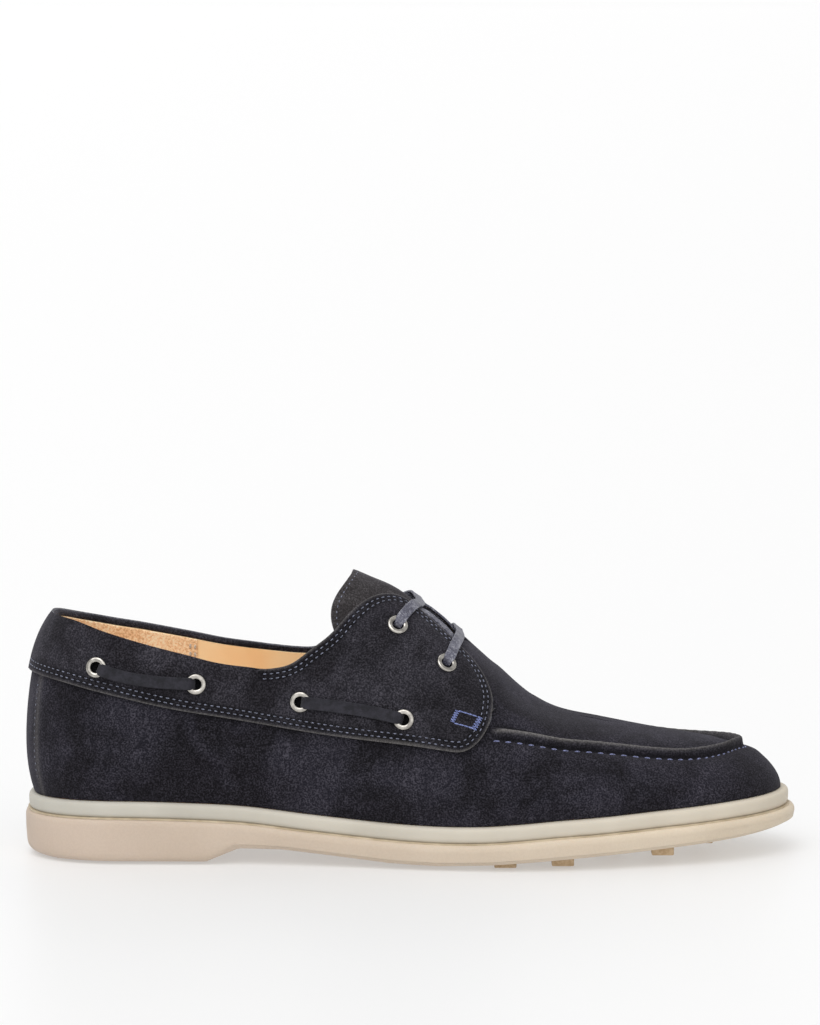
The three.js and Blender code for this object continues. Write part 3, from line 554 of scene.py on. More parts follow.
class Finish:
    """A finish on a principled shader, with patterns on the piece's own coordinates."""

    def __init__(self, name, colour, rough, **sockets):
        self.made = bpy.data.materials.new(name)
        self.made.use_nodes = True
        self.tree = self.made.node_tree
        self.shader = self.tree.nodes["Principled BSDF"]
        self.set("Base Color", (*colour, 1))
        self.set("Roughness", rough)
        for key, value in sockets.items():
            self.set(key.replace("_", " ").title().replace("Ior", "IOR"), value)
        self.place = self.tree.nodes.new("ShaderNodeTexCoord").outputs["Object"]

    def set(self, socket, value):
        self.shader.inputs[socket].default_value = value

    def node(self, kind, **settings):
        made = self.tree.nodes.new(kind)
        for key, value in settings.items():
            setattr(made, key, value)
        return made

    def link(self, out, into):
        self.tree.links.new(out, into)

    def stretched(self, stretch, source=None):
        mapping = self.node("ShaderNodeMapping")
        mapping.inputs["Scale"].default_value = stretch
        self.link(source or self.place, mapping.inputs["Vector"])
        return mapping.outputs["Vector"]

    def grain(self, size, detail=2.0, rough=0.5, stretch=None, warp=0.0, source=None):
        """Noise whose features are about so many millimetres across."""
        noise = self.node("ShaderNodeTexNoise")
        noise.inputs["Scale"].default_value = 1 / (size * MM)
        noise.inputs["Detail"].default_value = detail
        noise.inputs["Roughness"].default_value = rough
        noise.inputs["Distortion"].default_value = warp
        place = source or self.place
        self.link(self.stretched(stretch, place) if stretch else place, noise.inputs["Vector"])
        return noise.outputs["Fac"]

    def cells(self, size, stretch=None):
        pebble = self.node("ShaderNodeTexVoronoi")
        pebble.inputs["Scale"].default_value = 1 / (size * MM)
        self.link(self.stretched(stretch) if stretch else self.place, pebble.inputs["Vector"])
        return pebble.outputs["Distance"]

    def maths(self, operation, a, b=0.0, c=0.0):
        made = self.node("ShaderNodeMath", operation=operation)
        for socket, value in zip(made.inputs, (a, b, c)):
            if isinstance(value, (int, float)):
                socket.default_value = value
            else:
                self.link(value, socket)
        return made.outputs[0]

    def ramp(self, share, *stops):
        made = self.node("ShaderNodeValToRGB")
        while len(made.color_ramp.elements) < len(stops):
            made.color_ramp.elements.new(0.5)
        for element, (at, colour) in zip(made.color_ramp.elements, stops):
            element.position = at
            element.color = (*colour, 1)
        self.link(share, made.inputs[0])
        return made.outputs["Color"]

    def blend(self, share, low, high, kind="MIX"):
        made = self.node("ShaderNodeMix", data_type="RGBA", blend_type=kind)
        for socket, value in ((made.inputs[0], share), (made.inputs[6], low), (made.inputs[7], high)):
            if isinstance(value, tuple):
                socket.default_value = (*value, 1)
            elif isinstance(value, float):
                socket.default_value = value
            else:
                self.link(value, socket)
        return made.outputs[2]

    def mark(self, name):
        """A share kept at each point of the piece."""
        return self.node("ShaderNodeAttribute", attribute_name=name).outputs["Fac"]

    def coloured(self, out):
        self.link(out, self.shader.inputs["Base Color"])
        return self

    def roughened(self, share, low, high):
        spread = self.node("ShaderNodeMapRange")
        spread.inputs["To Min"].default_value = low
        spread.inputs["To Max"].default_value = high
        self.link(share, spread.inputs["Value"])
        self.link(spread.outputs["Result"], self.shader.inputs["Roughness"])
        return self

    def bumped(self, *layers):
        """Layers of (height, depth in millimetres), each over the last."""
        normal = None
        for height, depth in layers:
            bump = self.node("ShaderNodeBump")
            bump.inputs["Strength"].default_value = 1.0
            bump.inputs["Distance"].default_value = depth * MM
            self.link(height, bump.inputs["Height"])
            if normal:
                self.link(normal, bump.inputs["Normal"])
            normal = bump.outputs["Normal"]
        self.link(normal, self.shader.inputs["Normal"])
        return self


def suede(name, dark, brushed, fleck, patch=24.0, worn=(0.19, 0.18, 0.172)):
    """Napped leather: soft patches where the nap was brushed the other way, under fine light flecks of fibre.

    Its marked crests and edges are rubbed lighter, and its marked grooves are darkened with painted shade."""
    made = Finish(name, dark, 0.95, sheen_weight=0.11, sheen_roughness=0.5, sheen_tint=(0.62, 0.60, 0.70, 1),
                  specular_ior_level=0.08)
    patches = made.ramp(made.grain(patch, detail=2.5, rough=0.55, warp=0.5), (0.40, BLACK), (0.63, WHITE))
    fibres = made.grain(0.62, detail=2.0, rough=0.55)
    strokes = made.grain(4.0, detail=2.0, stretch=(1, 1, 0.5))
    flecks = made.ramp(fibres, (0.43, BLACK), (0.70, WHITE))
    share = made.maths("MULTIPLY", made.maths("MULTIPLY_ADD", patches, 0.55, 0.45), flecks)
    share = made.maths("MULTIPLY", share, made.maths("MULTIPLY_ADD", strokes, 1.2, 0.3))
    nap = made.blend(share, made.blend(patches, dark, brushed), fleck)
    rub = made.maths("MULTIPLY", made.mark("rubbed"), made.maths("MULTIPLY_ADD", fibres, 1.3, 0.0))
    # painted shade: where the sunk mark is set, the nap is darkened towards a dimmer navy
    shade = made.maths("MULTIPLY", made.mark("sunk"), 0.8)
    made.coloured(made.blend(rub, made.blend(shade, nap, tuple(0.4 * part for part in dark)), worn))
    made.bumped((strokes, 0.10), (fibres, 0.22))
    return made.made


BLACK, WHITE = (0, 0, 0), (1, 1, 1)
NAVY = suede("navy_suede", (0.0048, 0.0043, 0.0056), (0.0115, 0.0109, 0.0160), (0.060, 0.056, 0.071))
BAND_NAVY = suede("band_suede", (0.0070, 0.0064, 0.0080), (0.0150, 0.0143, 0.0185), (0.068, 0.064, 0.077),
                  patch=18.0)
TONGUE_SUEDE = suede("tongue_suede", (0.022, 0.0195, 0.020), (0.034, 0.031, 0.032), (0.100, 0.093, 0.098),
                     patch=14.0)


def raw_edge():
    made = Finish("raw_suede_edge", (0.06, 0.058, 0.064), 0.9, sheen_weight=0.1)
    fibres = made.grain(0.7, detail=2.0)
    made.coloured(made.ramp(fibres, (0.40, (0.014, 0.014, 0.020)), (0.62, (0.120, 0.122, 0.150))))
    return made.bumped((fibres, 0.15)).made


def rough_lining():
    made = Finish("rough_heel_lining", (0.80, 0.52, 0.30), 0.95, sheen_weight=0.15)
    nap = made.grain(0.9, detail=3.0, rough=0.7)
    patch = made.grain(14.0, detail=2.0)
    share = made.maths("ADD", made.maths("MULTIPLY", nap, 0.75), made.maths("MULTIPLY", patch, 0.25))
    made.coloured(made.ramp(share, (0.38, (0.66, 0.41, 0.215)), (0.48, (0.93, 0.62, 0.36)),
                            (0.60, (1.0, 0.86, 0.62))))
    return made.bumped((nap, 0.25)).made


def smooth_lining():
    made = Finish("smooth_front_lining", (1.0, 0.72, 0.40), 0.42, specular_ior_level=0.4)
    tone = made.grain(25.0, detail=2.0)
    pores = made.cells(0.5)
    made.coloured(made.ramp(tone, (0.35, (0.97, 0.64, 0.33)), (0.65, (1.0, 0.78, 0.48))))
    made.roughened(made.grain(3.0), 0.34, 0.55)
    return made.bumped((pores, 0.03)).made


def toeward(made, heel, toe):
    """A colour that goes evenly from the heel's to the toe's."""
    split = made.node("ShaderNodeSeparateXYZ")
    made.link(made.place, split.inputs[0])
    share = made.maths("ADD", made.maths("MULTIPLY", split.outputs[0], 3.4), 0.5)
    return made.ramp(share, (0.0, heel), (1.0, toe))


def cream_rubber():
    made = Finish("cream_outsole_rubber", (0.62, 0.51, 0.40), 0.5, subsurface_weight=0.12,
                  subsurface_radius=(0.004, 0.003, 0.002), subsurface_scale=0.5, specular_ior_level=0.35)
    cloud = made.grain(34.0, detail=2.0)
    specks = made.grain(0.8, detail=2.0)
    moulded = diamonds(made)
    tone = toeward(made, (0.625, 0.512, 0.425), (0.740, 0.640, 0.505))
    tone = made.blend(0.5, tone, made.ramp(cloud, (0.35, (0.86, 0.84, 0.82)), (0.65, WHITE)), "MULTIPLY")
    tone = made.blend(0.35, tone, made.ramp(moulded, (0.55, WHITE), (0.95, (0.80, 0.76, 0.70))), "MULTIPLY")
    made.coloured(made.blend(0.05, tone, made.ramp(specks, (0.4, (0.5, 0.38, 0.26)), (0.6, (0.9, 0.76, 0.6)))))
    made.roughened(specks, 0.45, 0.6)
    return made.bumped((moulded, 0.16), (specks, 0.02)).made


def diamonds(made, size=1.5):
    """A fine diamond pattern over the sole's side, in the piece's own unrolled sizes."""
    sheet = made.node("ShaderNodeUVMap", uv_map="unrolled").outputs["UV"]
    split = made.node("ShaderNodeSeparateXYZ")
    made.link(sheet, split.inputs[0])
    along, up = split.outputs[0], split.outputs[1]
    steep = made.maths("MULTIPLY", up, 1.6)
    waves = []
    for way in ("ADD", "SUBTRACT"):
        slant = made.maths("MULTIPLY", made.maths(way, along, steep), 2 * math.pi / size)
        waves.append(made.maths("ABSOLUTE", made.maths("SINE", slant)))
    return made.maths("MAXIMUM", *waves)


def pale_rubber():
    made = Finish("pale_midsole_rubber", (0.52, 0.485, 0.41), 0.6, subsurface_weight=0.08,
                  subsurface_radius=(0.004, 0.003, 0.002), subsurface_scale=0.5, specular_ior_level=0.35)
    cloud = made.grain(26.0, detail=3.0)
    specks = made.grain(0.9, detail=2.0)
    tone = toeward(made, (0.490, 0.470, 0.415), (0.610, 0.545, 0.445))
    made.coloured(made.blend(0.6, tone, made.ramp(cloud, (0.35, (0.84, 0.84, 0.83)), (0.65, WHITE)), "MULTIPLY"))
    made.roughened(specks, 0.5, 0.7)
    return made.bumped((specks, 0.03)).made


def stud_rubber():
    made = Finish("stud_rubber", (0.50, 0.36, 0.21), 0.6)
    specks = made.grain(1.2, detail=2.0)
    made.coloured(made.ramp(specks, (0.35, (0.46, 0.32, 0.18)), (0.65, (0.58, 0.43, 0.27))))
    return made.bumped((specks, 0.03)).made


def cement_line():
    made = Finish("cement_line", (0.48, 0.39, 0.27), 0.5)
    tone = made.grain(6.0)
    made.coloured(made.ramp(tone, (0.35, (0.40, 0.32, 0.21)), (0.65, (0.54, 0.45, 0.32))))
    return made.bumped((tone, 0.02)).made


def nickel():
    made = Finish("nickel_plate", (0.52, 0.49, 0.45), 0.24, metallic=1.0)
    hairs = made.grain(0.35, detail=2.0)
    made.coloured(made.ramp(made.grain(2.2), (0.3, (0.26, 0.245, 0.225)), (0.7, (0.56, 0.535, 0.49))))
    made.roughened(hairs, 0.14, 0.28)
    return made.bumped((hairs, 0.006)).made


def thread(name, dark, light, rough=0.55):
    made = Finish(name, light, rough, sheen_weight=0.3, specular_ior_level=0.35)
    ply = made.grain(0.35, detail=1.0, stretch=(1, 1, 1))
    made.coloured(made.ramp(ply, (0.38, dark), (0.62, light)))
    return made.bumped((ply, 0.08)).made


def waxed_lace():
    made = Finish("waxed_lace", (0.15, 0.155, 0.21), 0.42, specular_ior_level=0.6, coat_weight=0.12,
                  coat_roughness=0.4)
    mottle = made.grain(0.8, detail=3.0, rough=0.7)
    wax = made.grain(4.5, detail=2.0)
    share = made.maths("ADD", made.maths("MULTIPLY", mottle, 0.72), made.maths("MULTIPLY", wax, 0.28))
    made.coloured(made.ramp(share, (0.38, (0.026, 0.026, 0.044)), (0.50, (0.083, 0.084, 0.122)),
                            (0.66, (0.34, 0.34, 0.37))))
    made.roughened(mottle, 0.34, 0.6)
    return made.bumped((mottle, 0.14)).made


def strap_leather():
    made = Finish("navy_strap_leather", (0.026, 0.025, 0.031), 0.68, specular_ior_level=0.25, sheen_weight=0.1)
    tone = made.grain(3.0, detail=3.0, rough=0.7)
    pores = made.grain(0.5, detail=2.0)
    made.coloured(made.ramp(tone, (0.38, (0.0070, 0.0068, 0.0105)), (0.62, (0.021, 0.020, 0.028))))
    made.roughened(tone, 0.6, 0.8)
    return made.bumped((pores, 0.08)).made


def cut_edge():
    made = Finish("strap_cut_edge", (0.075, 0.078, 0.10), 0.8)
    fibres = made.grain(0.4, detail=2.0)
    made.coloured(made.ramp(fibres, (0.40, (0.030, 0.031, 0.040)), (0.60, (0.13, 0.132, 0.155))))
    return made.bumped((fibres, 0.06)).made


# painted shade: a near-black finish for the discs behind the eyelet holes, which make the holes look dark inside
def painted_hole_shade():
    made = Finish("black_painted_hole_shade", (0.003, 0.003, 0.004), 0.95, specular_ior_level=0.05)
    weave = made.grain(0.6)
    made.coloured(made.ramp(weave, (0.4, (0.002, 0.002, 0.002)), (0.6, (0.006, 0.006, 0.007))))
    return made.bumped((weave, 0.05)).made


RAW_EDGE, ROUGH_LINING, SMOOTH_LINING = raw_edge(), rough_lining(), smooth_lining()
CREAM_RUBBER, PALE_RUBBER, STUD_RUBBER, CEMENT = cream_rubber(), pale_rubber(), stud_rubber(), cement_line()
NICKEL, WAXED_LACE, STRAP, CUT_EDGE, HOLE_SHADE = nickel(), waxed_lace(), strap_leather(), cut_edge(), painted_hole_shade()
SEAM_THREAD = thread("seam_thread", (0.028, 0.030, 0.046), (0.21, 0.225, 0.31))
HAND_THREAD = thread("hand_sewn_thread", (0.050, 0.056, 0.12), (0.21, 0.23, 0.42), rough=0.5)
TACK_THREAD = thread("bar_tack_thread", (0.055, 0.075, 0.20), (0.22, 0.27, 0.54), rough=0.45)
PALE_THREAD = thread("lining_thread", (0.36, 0.31, 0.26), (0.68, 0.62, 0.54))


# ---- upper ----

def feather_ways(cells):
    """Evenly spaced ways round the feather line, the same on both sides, and a function of the share."""
    fine = np.linspace(0, math.pi, 2000)
    steps = np.linalg.norm(np.diff(foot_line(fine), axis=0), axis=1) + 0.02
    length = np.concatenate([[0], np.cumsum(steps)])
    half = np.interp(np.linspace(0, length[-1], cells // 2 + 1), length, fine)
    ways = np.concatenate([half, 2 * math.pi - half[-2::-1]])
    return lambda share: ways[np.round(share * cells).astype(int)]


SEAM_STOPS = np.array([0, 0.04, 0.36, 0.46, 0.50, 0.545, 0.59, 0.635, 0.68, 0.725, 0.79, 0.90, 1])
SEAM_AWAY = np.array([-9.0, -4.8, -3.6, -2.4, -1.2, 0, 1.2, 2.4, 4.2])


def upper_turn(way, share):
    """The turn of the upper's rows: even behind, and gathered round the apron's ridge in front."""
    x = station_of(way)
    near = apron_of(x) + SEAM_AWAY[:, None] / per_degree(way)
    near = np.minimum(near, 86 + np.arange(len(near))[:, None] * 0.3)
    zero = np.zeros_like(x)
    keys = np.concatenate([[zero, zero + 4], near, [(near[-1] + 90) / 2, zero + 90]])
    i = np.clip(np.searchsorted(SEAM_STOPS, share, side="right") - 1, 0, len(SEAM_STOPS) - 2)
    t = (share - SEAM_STOPS[i]) / (SEAM_STOPS[i + 1] - SEAM_STOPS[i])
    column = np.arange(len(share))
    front = keys[i, column] * (1 - t) + keys[i + 1, column] * t
    back = throat_edge(way) * share
    blend = ease(x, THROAT_X - THROAT_ROUND, THROAT_X)
    return back * (1 - blend) + front * blend


UPPER_CELLS, UPPER_ROWS = 420, 78


def make_upper():
    way_at = feather_ways(UPPER_CELLS)

    def place(u, v):
        way = way_at(u)
        turn = upper_turn(way, v)
        return stand(way, turn, suede_out(way, turn) - 0.35 * backstay_edge(way, turn, 0.6))

    def rubbed(u, v):
        way = way_at(u)
        turn = upper_turn(way, v)
        x = station_of(way)
        crest = np.exp(-((apron_away(way, turn) - 0.1) / 0.85) ** 2)
        crest = crest * ease(x, BAND_FRONT, BAND_FRONT + 4) * (0.55 + 0.45 * np.exp(-((x - 205) / 40) ** 2))
        return crest + 0.35 * backstay_edge(way, turn, 1.3)

    # painted shade: the sunk mark darkens the groove at the foot of the apron's ridge, by the hand stitches, and the
    # trough behind its crest
    def sunk(u, v):
        way = way_at(u)
        turn = upper_turn(way, v)
        away = apron_away(way, turn)
        foot = np.exp(-((away + seam_below(station_of(way)) - 0.9) / 1.0) ** 2)
        behind = np.exp(-((away - 1.9) / 0.9) ** 2)
        return (foot + behind) * ease(station_of(way), BAND_FRONT, BAND_FRONT + 4)
    upper = welded(pulled("upper_suede", UPPER_CELLS, UPPER_ROWS, place, rubbed=rubbed, sunk=sunk))
    coated(punched(upper, THROAT_EYELETS, 0.0, 2.6), NAVY, RAW_EDGE)
    walled(upper, SUEDE_THICK, even=False)
    return smoothed(upper, 60)


BACKSTAY = 17                    # the stay down the back of the heel reaches this far to each side


def heel_across(way):
    """How far aside of the heel's middle a place lies."""
    return np.abs(foot_line(way)[..., 1] - centre_of(station_of(way)))


def backstay_edge(way, turn, reach):
    """1 along the two sewn edges of the backstay, below the band."""
    near = np.exp(-((heel_across(way) - BACKSTAY) / reach) ** 2) * (station_of(way) < 30)
    return near * ease(36 - turn, 0, 2)


def make_lining():
    """Smooth leather in front, and rough leather over the heel that laps it."""
    way_at = feather_ways(260)

    def front(u, v):
        way = way_at(u)
        x = station_of(way)
        edge = throat_edge(way) - np.where(x < THROAT_X, LINING_BELOW / per_degree(way), 0)
        return stand(way, edge * v, -SUEDE_THICK - 0.12)
    smooth_part = welded(pulled("lining_front", 260, 34, front))
    coated(punched(smooth_part, THROAT_EYELETS, -SUEDE_THICK - 0.12, 2.9), SMOOTH_LINING)
    smoothed(walled(smooth_part, 0.75), 60)

    end = float(way_of(LINING_SEAM_X))

    def heel(u, v):
        way = (2 * u - 1) * end
        edge = throat_edge(way) - (LINING_BELOW - 0.1) / per_degree(way)
        return stand(way, edge * (0.12 + 0.88 * v), -UPPER_WALL - 0.05)
    heel_part = coated(pulled("lining_heel", 150, 40, heel), ROUGH_LINING)
    smoothed(rounded(walled(heel_part, 0.6), 0.2), 60)
    return smooth_part, heel_part


LINING_BELOW = 1.3               # the lining stops this far under the rim
LINING_SEAM_X = 66


ROLL_END_X = 108


def make_collar_roll():
    """The folded top line of the collar, from one eyestay round the heel to the other."""
    end = float(way_of(ROLL_END_X))
    way = np.linspace(-end, end, 260)
    turn = throat_edge(way)
    thin = 0.25 + 0.75 * ease(ROLL_END_X - station_of(way), 0, 22)
    up = unit(stand(way, turn + 0.5) - stand(way, turn - 0.5))
    spine = stand(way, turn, (BAND_FACE - UPPER_WALL) / 2 + 0.1) - up * 1.0
    round_section = [(1.75 * math.cos(a), 1.15 * math.sin(a)) for a in np.linspace(0, 2 * math.pi, 17)[:-1]]
    roll = swept("collar_roll", spine, facing(way, turn), round_section, thin)
    return smoothed(coated(roll, BAND_NAVY), 60)


# ---- collar band ----

def near_line(points, line_points, reach):
    """How close points lie to a line: 1 on it, falling off over the reach."""
    tree = KDTree(len(line_points))
    for i, point in enumerate(line_points):
        tree.insert(point, i)
    tree.balance()
    distance = np.array([tree.find(point)[2] for point in points])
    return np.exp(-(distance / reach) ** 2)


def make_band():
    stations = rounded_stations(HEEL_X, BAND_FRONT - 0.05, 15, 1.0)
    half = way_of(feather_spread(stations))
    ways = np.concatenate([-half[::-1], half[1:]])
    cells = len(ways) - 1

    def spot(u, v):
        way = ways[np.round(u * cells).astype(int)]
        return way, band_bottom(way) + (band_top(way) - band_bottom(way)) * v

    def near(u, v, lines, reach):
        points = stand(*spot(u, v))
        return np.max([near_line(points, line.points, reach) for line in lines], axis=0)

    def place(u, v):
        way, turn = spot(u, v)
        sewn, edge = near(u, v, BAND_ROWS, 0.75), near(u, v, BAND_EDGES, 0.8)
        return stand(way, turn, BAND_FACE + creased(way, turn) - 0.30 * sewn - 0.25 * edge)
    # the sunk mark is painted shade along the pressed-in rows of stitches
    band = pulled("collar_band_suede", cells, 44, place, rubbed=lambda u, v: 0.7 * near(u, v, BAND_EDGES, 0.5),
                  sunk=lambda u, v: near(u, v, BAND_ROWS, 0.9))
    coated(punched(welded(band), tuple(EYELETS), BAND_FACE, 3.0), BAND_NAVY, RAW_EDGE)
    return smoothed(rounded(walled(band, BAND_THICK, edge_slot=1, even=False), 0.3), 60)


def feather_spread(stations):
    """Stations spaced evenly round the heel, then as given."""
    heel = station_of(feather_ways(460)(np.arange(0, 231) / 460))
    heel = heel[heel < 40]
    return np.concatenate([heel, stations[stations > heel[-1] + 0.6]])


EYELETS = {"throat_1": (144, 54.4), "throat_2": (162.4, 51.4), "side_1": (29.7, 35.6), "side_2": (67.3, 30.1),
           "side_3": (107.4, 26.5), "side_4": (146.8, 27.1)}
THROAT_EYELETS = ("throat_1", "throat_2")
EYELET = {"outer": 4.0, "hole": 2.05, "high": 0.8, "sunk": 1.3}


def punched(skin, names, out, radius):
    """Opens a skin at each eyelet; the ring covers the opening's edge."""
    middles = np.empty(len(skin.data.polygons) * 3, np.float32)
    skin.data.polygons.foreach_get("center", middles)
    middles = middles.reshape(-1, 3) / MM - HEEL_END
    inside = np.zeros(len(middles), bool)
    for name in names:
        x, turn = EYELETS[name]
        for side in SIDES.values():
            inside |= np.linalg.norm(middles - stand(way_of(x, side), turn, out), axis=1) < radius
    only(skin)
    bpy.ops.object.mode_set(mode="EDIT")
    bpy.ops.mesh.select_mode(type="FACE")
    bpy.ops.mesh.select_all(action="DESELECT")
    leave_edit()
    skin.data.polygons.foreach_set("select", inside)
    bpy.ops.object.mode_set(mode="EDIT")
    bpy.ops.mesh.delete(type="FACE")
    bpy.ops.mesh.select_mode(type="VERT")
    leave_edit()
    return skin


def make_eyelets():
    """A rolled ring with its barrel, spun from its section, then copied to every hole."""
    hole, outer, high = EYELET["hole"], EYELET["outer"], EYELET["high"]
    middle, half = (hole + outer) / 2, (outer - hole) / 2
    roll = [(middle + half * math.copysign(abs(math.cos(a)) ** 0.75, math.cos(a)), 0.1 + high * math.sin(a) ** 0.8)
            for a in np.linspace(0, math.pi, 11)]
    section = [(outer - 0.25, 0.0), *roll, (hole, -EYELET["sunk"]), (hole + 0.18, -EYELET["sunk"]),
               (hole + 0.18, 0.0), (outer - 0.25, 0.0)]
    bare()
    bpy.ops.mesh.primitive_plane_add(size=2 * MM)
    ring = bpy.context.object
    bpy.ops.object.mode_set(mode="EDIT")
    bpy.ops.mesh.select_all(action="SELECT")
    bpy.ops.mesh.delete(type="VERT")
    leave_edit()
    ring.data.from_pydata([(r * MM, 0, h * MM) for r, h in section], [(i, i + 1) for i in range(len(section) - 1)], [])
    only(ring)
    bpy.ops.object.mode_set(mode="EDIT")
    bpy.ops.mesh.select_all(action="SELECT")
    bpy.ops.mesh.spin(steps=36, angle=2 * math.pi, center=(0, 0, 0), axis=(0, 0, 1))
    bpy.ops.mesh.select_all(action="SELECT")
    bpy.ops.mesh.remove_doubles(threshold=0.01 * MM)
    bpy.ops.mesh.normals_make_consistent(inside=False)
    leave_edit()
    smoothed(coated(ring, NICKEL), 60)
    made = []
    for side, sign in SIDES.items():
        for name, (x, turn) in EYELETS.items():
            row, number = name.split("_")
            way = float(way_of(x, sign))
            eyelet = many(f"eyelet_ring_{row}_{side}_{number}", ring,
                          [seat(way, turn, BAND_FACE + float(creased(way, turn)))], keep=True)
            made.append((eyelet, f"{row}_eyelet_{side}_{number}"))
    bpy.data.objects.remove(ring)
    return made


def make_hole_shade():
    """Small black discs of cloth behind every eyelet, between the band and the suede under it: painted shade that makes
    the holes look dark inside.
    """
    bare()
    bpy.ops.mesh.primitive_cylinder_add(vertices=24, radius=3.2 * MM, depth=0.16 * MM)
    disc = rounded(bpy.context.object, 0.05, 1)
    spots = [(float(way_of(x, sign)), turn) for x, turn in EYELETS.values() for sign in SIDES.values()]
    seats = [seat(way, turn, 0.14 + float(creased(way, turn))) for way, turn in spots]
    return coated(many("eyelet_hole_shade", disc, seats), HOLE_SHADE)


# ---- tongue ----

TONGUE = {"thick": 2.0, "front": 188, "tip": 127, "side": 42, "far_side": 36, "front_side": 62, "sweep": 8,
          "far_sweep": 3, "bow": 0.78, "bow_power": 2.1, "below": 3.8, "lift": 4.5, "lift_from": 160, "crown": 2.3,
          "crown_from": 172, "crown_full": 162}


def tongue_place(part, across):
    """Way and turn on the tongue: part 0 in front to 1 at the tip, across -1 outer edge to 1 inner edge."""
    far = across > 0
    side = np.where(far, TONGUE["far_side"], TONGUE["side"])
    low = TONGUE["front_side"] + (side - TONGUE["front_side"]) * np.minimum(1, part * 1.6)
    turn = 90 - (90 - low) * np.abs(across)
    down = (90 - turn) / (90 - side)
    bow = np.sin(math.pi / 2 * (down / TONGUE["bow"]) ** TONGUE["bow_power"])
    end = TONGUE["tip"] - np.where(far, TONGUE["far_sweep"], TONGUE["sweep"]) * bow
    x = TONGUE["front"] + (end - TONGUE["front"]) * part
    return way_of(x, np.where(far, 1, -1)), turn


def tongue_out(way, turn):
    x = station_of(way)
    free = np.clip((TONGUE["lift_from"] - x) / (TONGUE["lift_from"] - TONGUE["tip"]), 0, 1)
    crown = TONGUE["crown"] * ease(TONGUE["crown_from"] - x, 0, TONGUE["crown_from"] - TONGUE["crown_full"])
    rise = crown + (TONGUE["lift"] - crown) * free ** 1.2
    edge = np.minimum(throat_edge(way) + 3, 89)
    inside = np.clip((turn - edge) / (90 - edge), 0, 1)
    dents = 0.25 * free * np.sin(x * 0.33 + turn * 0.12)
    return rise * np.sin(inside * math.pi / 2) - TONGUE["below"] + dents


def make_tongue():
    def place(u, v):
        way, turn = tongue_place(v, 2 * u - 1)
        return stand(way, turn, tongue_out(way, turn))
    tongue = pulled("tongue_suede", 84, 96, place)
    coated(tongue, TONGUE_SUEDE, RAW_EDGE)
    return smoothed(rounded(walled(tongue, TONGUE["thick"], edge_slot=1), 0.35), 60)


# ---- laces ----

LACE_WIDE, LACE_THICK = 4.2, 1.0


def lace_profile(wide, thick):
    """A flat lace with soft edges."""
    w, t = wide / 2, thick / 2
    return [(-w, -0.5 * t), (-w, 0.6 * t), (-w + 0.22, t), (-w + 0.9, 0.9 * t), (0, 0.86 * t), (w - 0.9, 0.9 * t),
            (w - 0.22, t), (w, 0.6 * t), (w, -0.5 * t), (w - 0.3, -t), (0, -t), (-w + 0.3, -t)]


def lace(name, rows, finish, edge, wide=LACE_WIDE, thick=LACE_THICK):
    """A flat lace through rows of (x, turn, side, out)."""
    points = np.array([stand(float(way_of(x, side)), turn, out) for x, turn, side, out in rows])
    normals = np.array([facing(float(way_of(x, side)), min(turn, 89)) for x, turn, side, out in rows])
    run = np.gradient(points, axis=0)
    flat = run - normals * (run * normals).sum(1, keepdims=True)
    for i in range(len(flat)):
        if np.linalg.norm(flat[i]) < 0.5 * np.linalg.norm(run[i]):
            flat[i] = flat[min(i + 2, len(flat) - 1)] if i < len(flat) / 2 else flat[max(i - 2, 0)]
    across = np.cross(flat, normals)
    pinched = curve_through([[0.8 if 0 < out < 2 and turn < 60 else 1.0] for x, turn, side, out in rows])[:, 0]
    made = swept(name, curve_through(points), curve_through(unit(across)), lace_profile(wide, thick), pinched)
    return smoothed(coated(made, finish, edge), 40)


# part of the way from the eyelet to the middle of the throat, and how far the lace stands off the last
BAR_REST = [(0.012, -4.6), (0.012, -1.6), (0.014, 0.6), (0.030, 1.9), (0.062, 2.9), (0.10, 3.3), (0.15, 3.15),
            (0.22, 2.7), (0.32, 2.4), (0.42, 2.15), (0.50, 1.75), (0.58, 1.2), (0.66, 0.7), (0.76, 0.35), (0.88, 0.2)]
BAR_LEANS = {"throat_1": 9, "throat_2": 6}
RUN_REST = [(151.8, 77.2, -0.9), (153.6, 76.4, -0.4), (156.0, 75.8, 0.2), (158.5, 75.6, 0.3), (161.2, 75.3, 0.3),
            (163.6, 74.8, 0.1), (166.0, 74.2, -0.4), (167.6, 74.0, -0.9)]


def bar_rows(name):
    x, turn = EYELETS[name]
    lean = BAR_LEANS[name]
    half = [(x + lean * math.sin(part * math.pi / 2), turn + (90 - turn) * part, out) for part, out in BAR_REST]
    outer = [(a, b, -1, c) for a, b, c in half]
    inner = [(a, b, 1, c) for a, b, c in reversed(half)]
    return [*outer, (x + lean, 90, -1, 0.15), *inner]


def make_front_lace():
    bars = [lace(f"bar_{name}", bar_rows(name), WAXED_LACE, WAXED_LACE) for name in BAR_LEANS]
    runs = [lace(f"run_{side}", [(x, turn, side, out) for x, turn, out in RUN_REST], WAXED_LACE, WAXED_LACE)
            for side in SIDES.values()]
    bare()
    for piece in [*bars, *runs]:
        piece.select_set(True)
    bpy.context.view_layer.objects.active = bars[0]
    bpy.ops.object.join()
    bars[0].name = bars[0].data.name = "front_lace_waxed"
    return bars[0]


STRAP_REST = [(0.55, 0.3), (0.65, 0.9), (1.1, 1.8), (2.1, 2.8), (3.3, 3.2), (4.8, 3.0), (6.8, 2.6), (9.5, 2.35)]


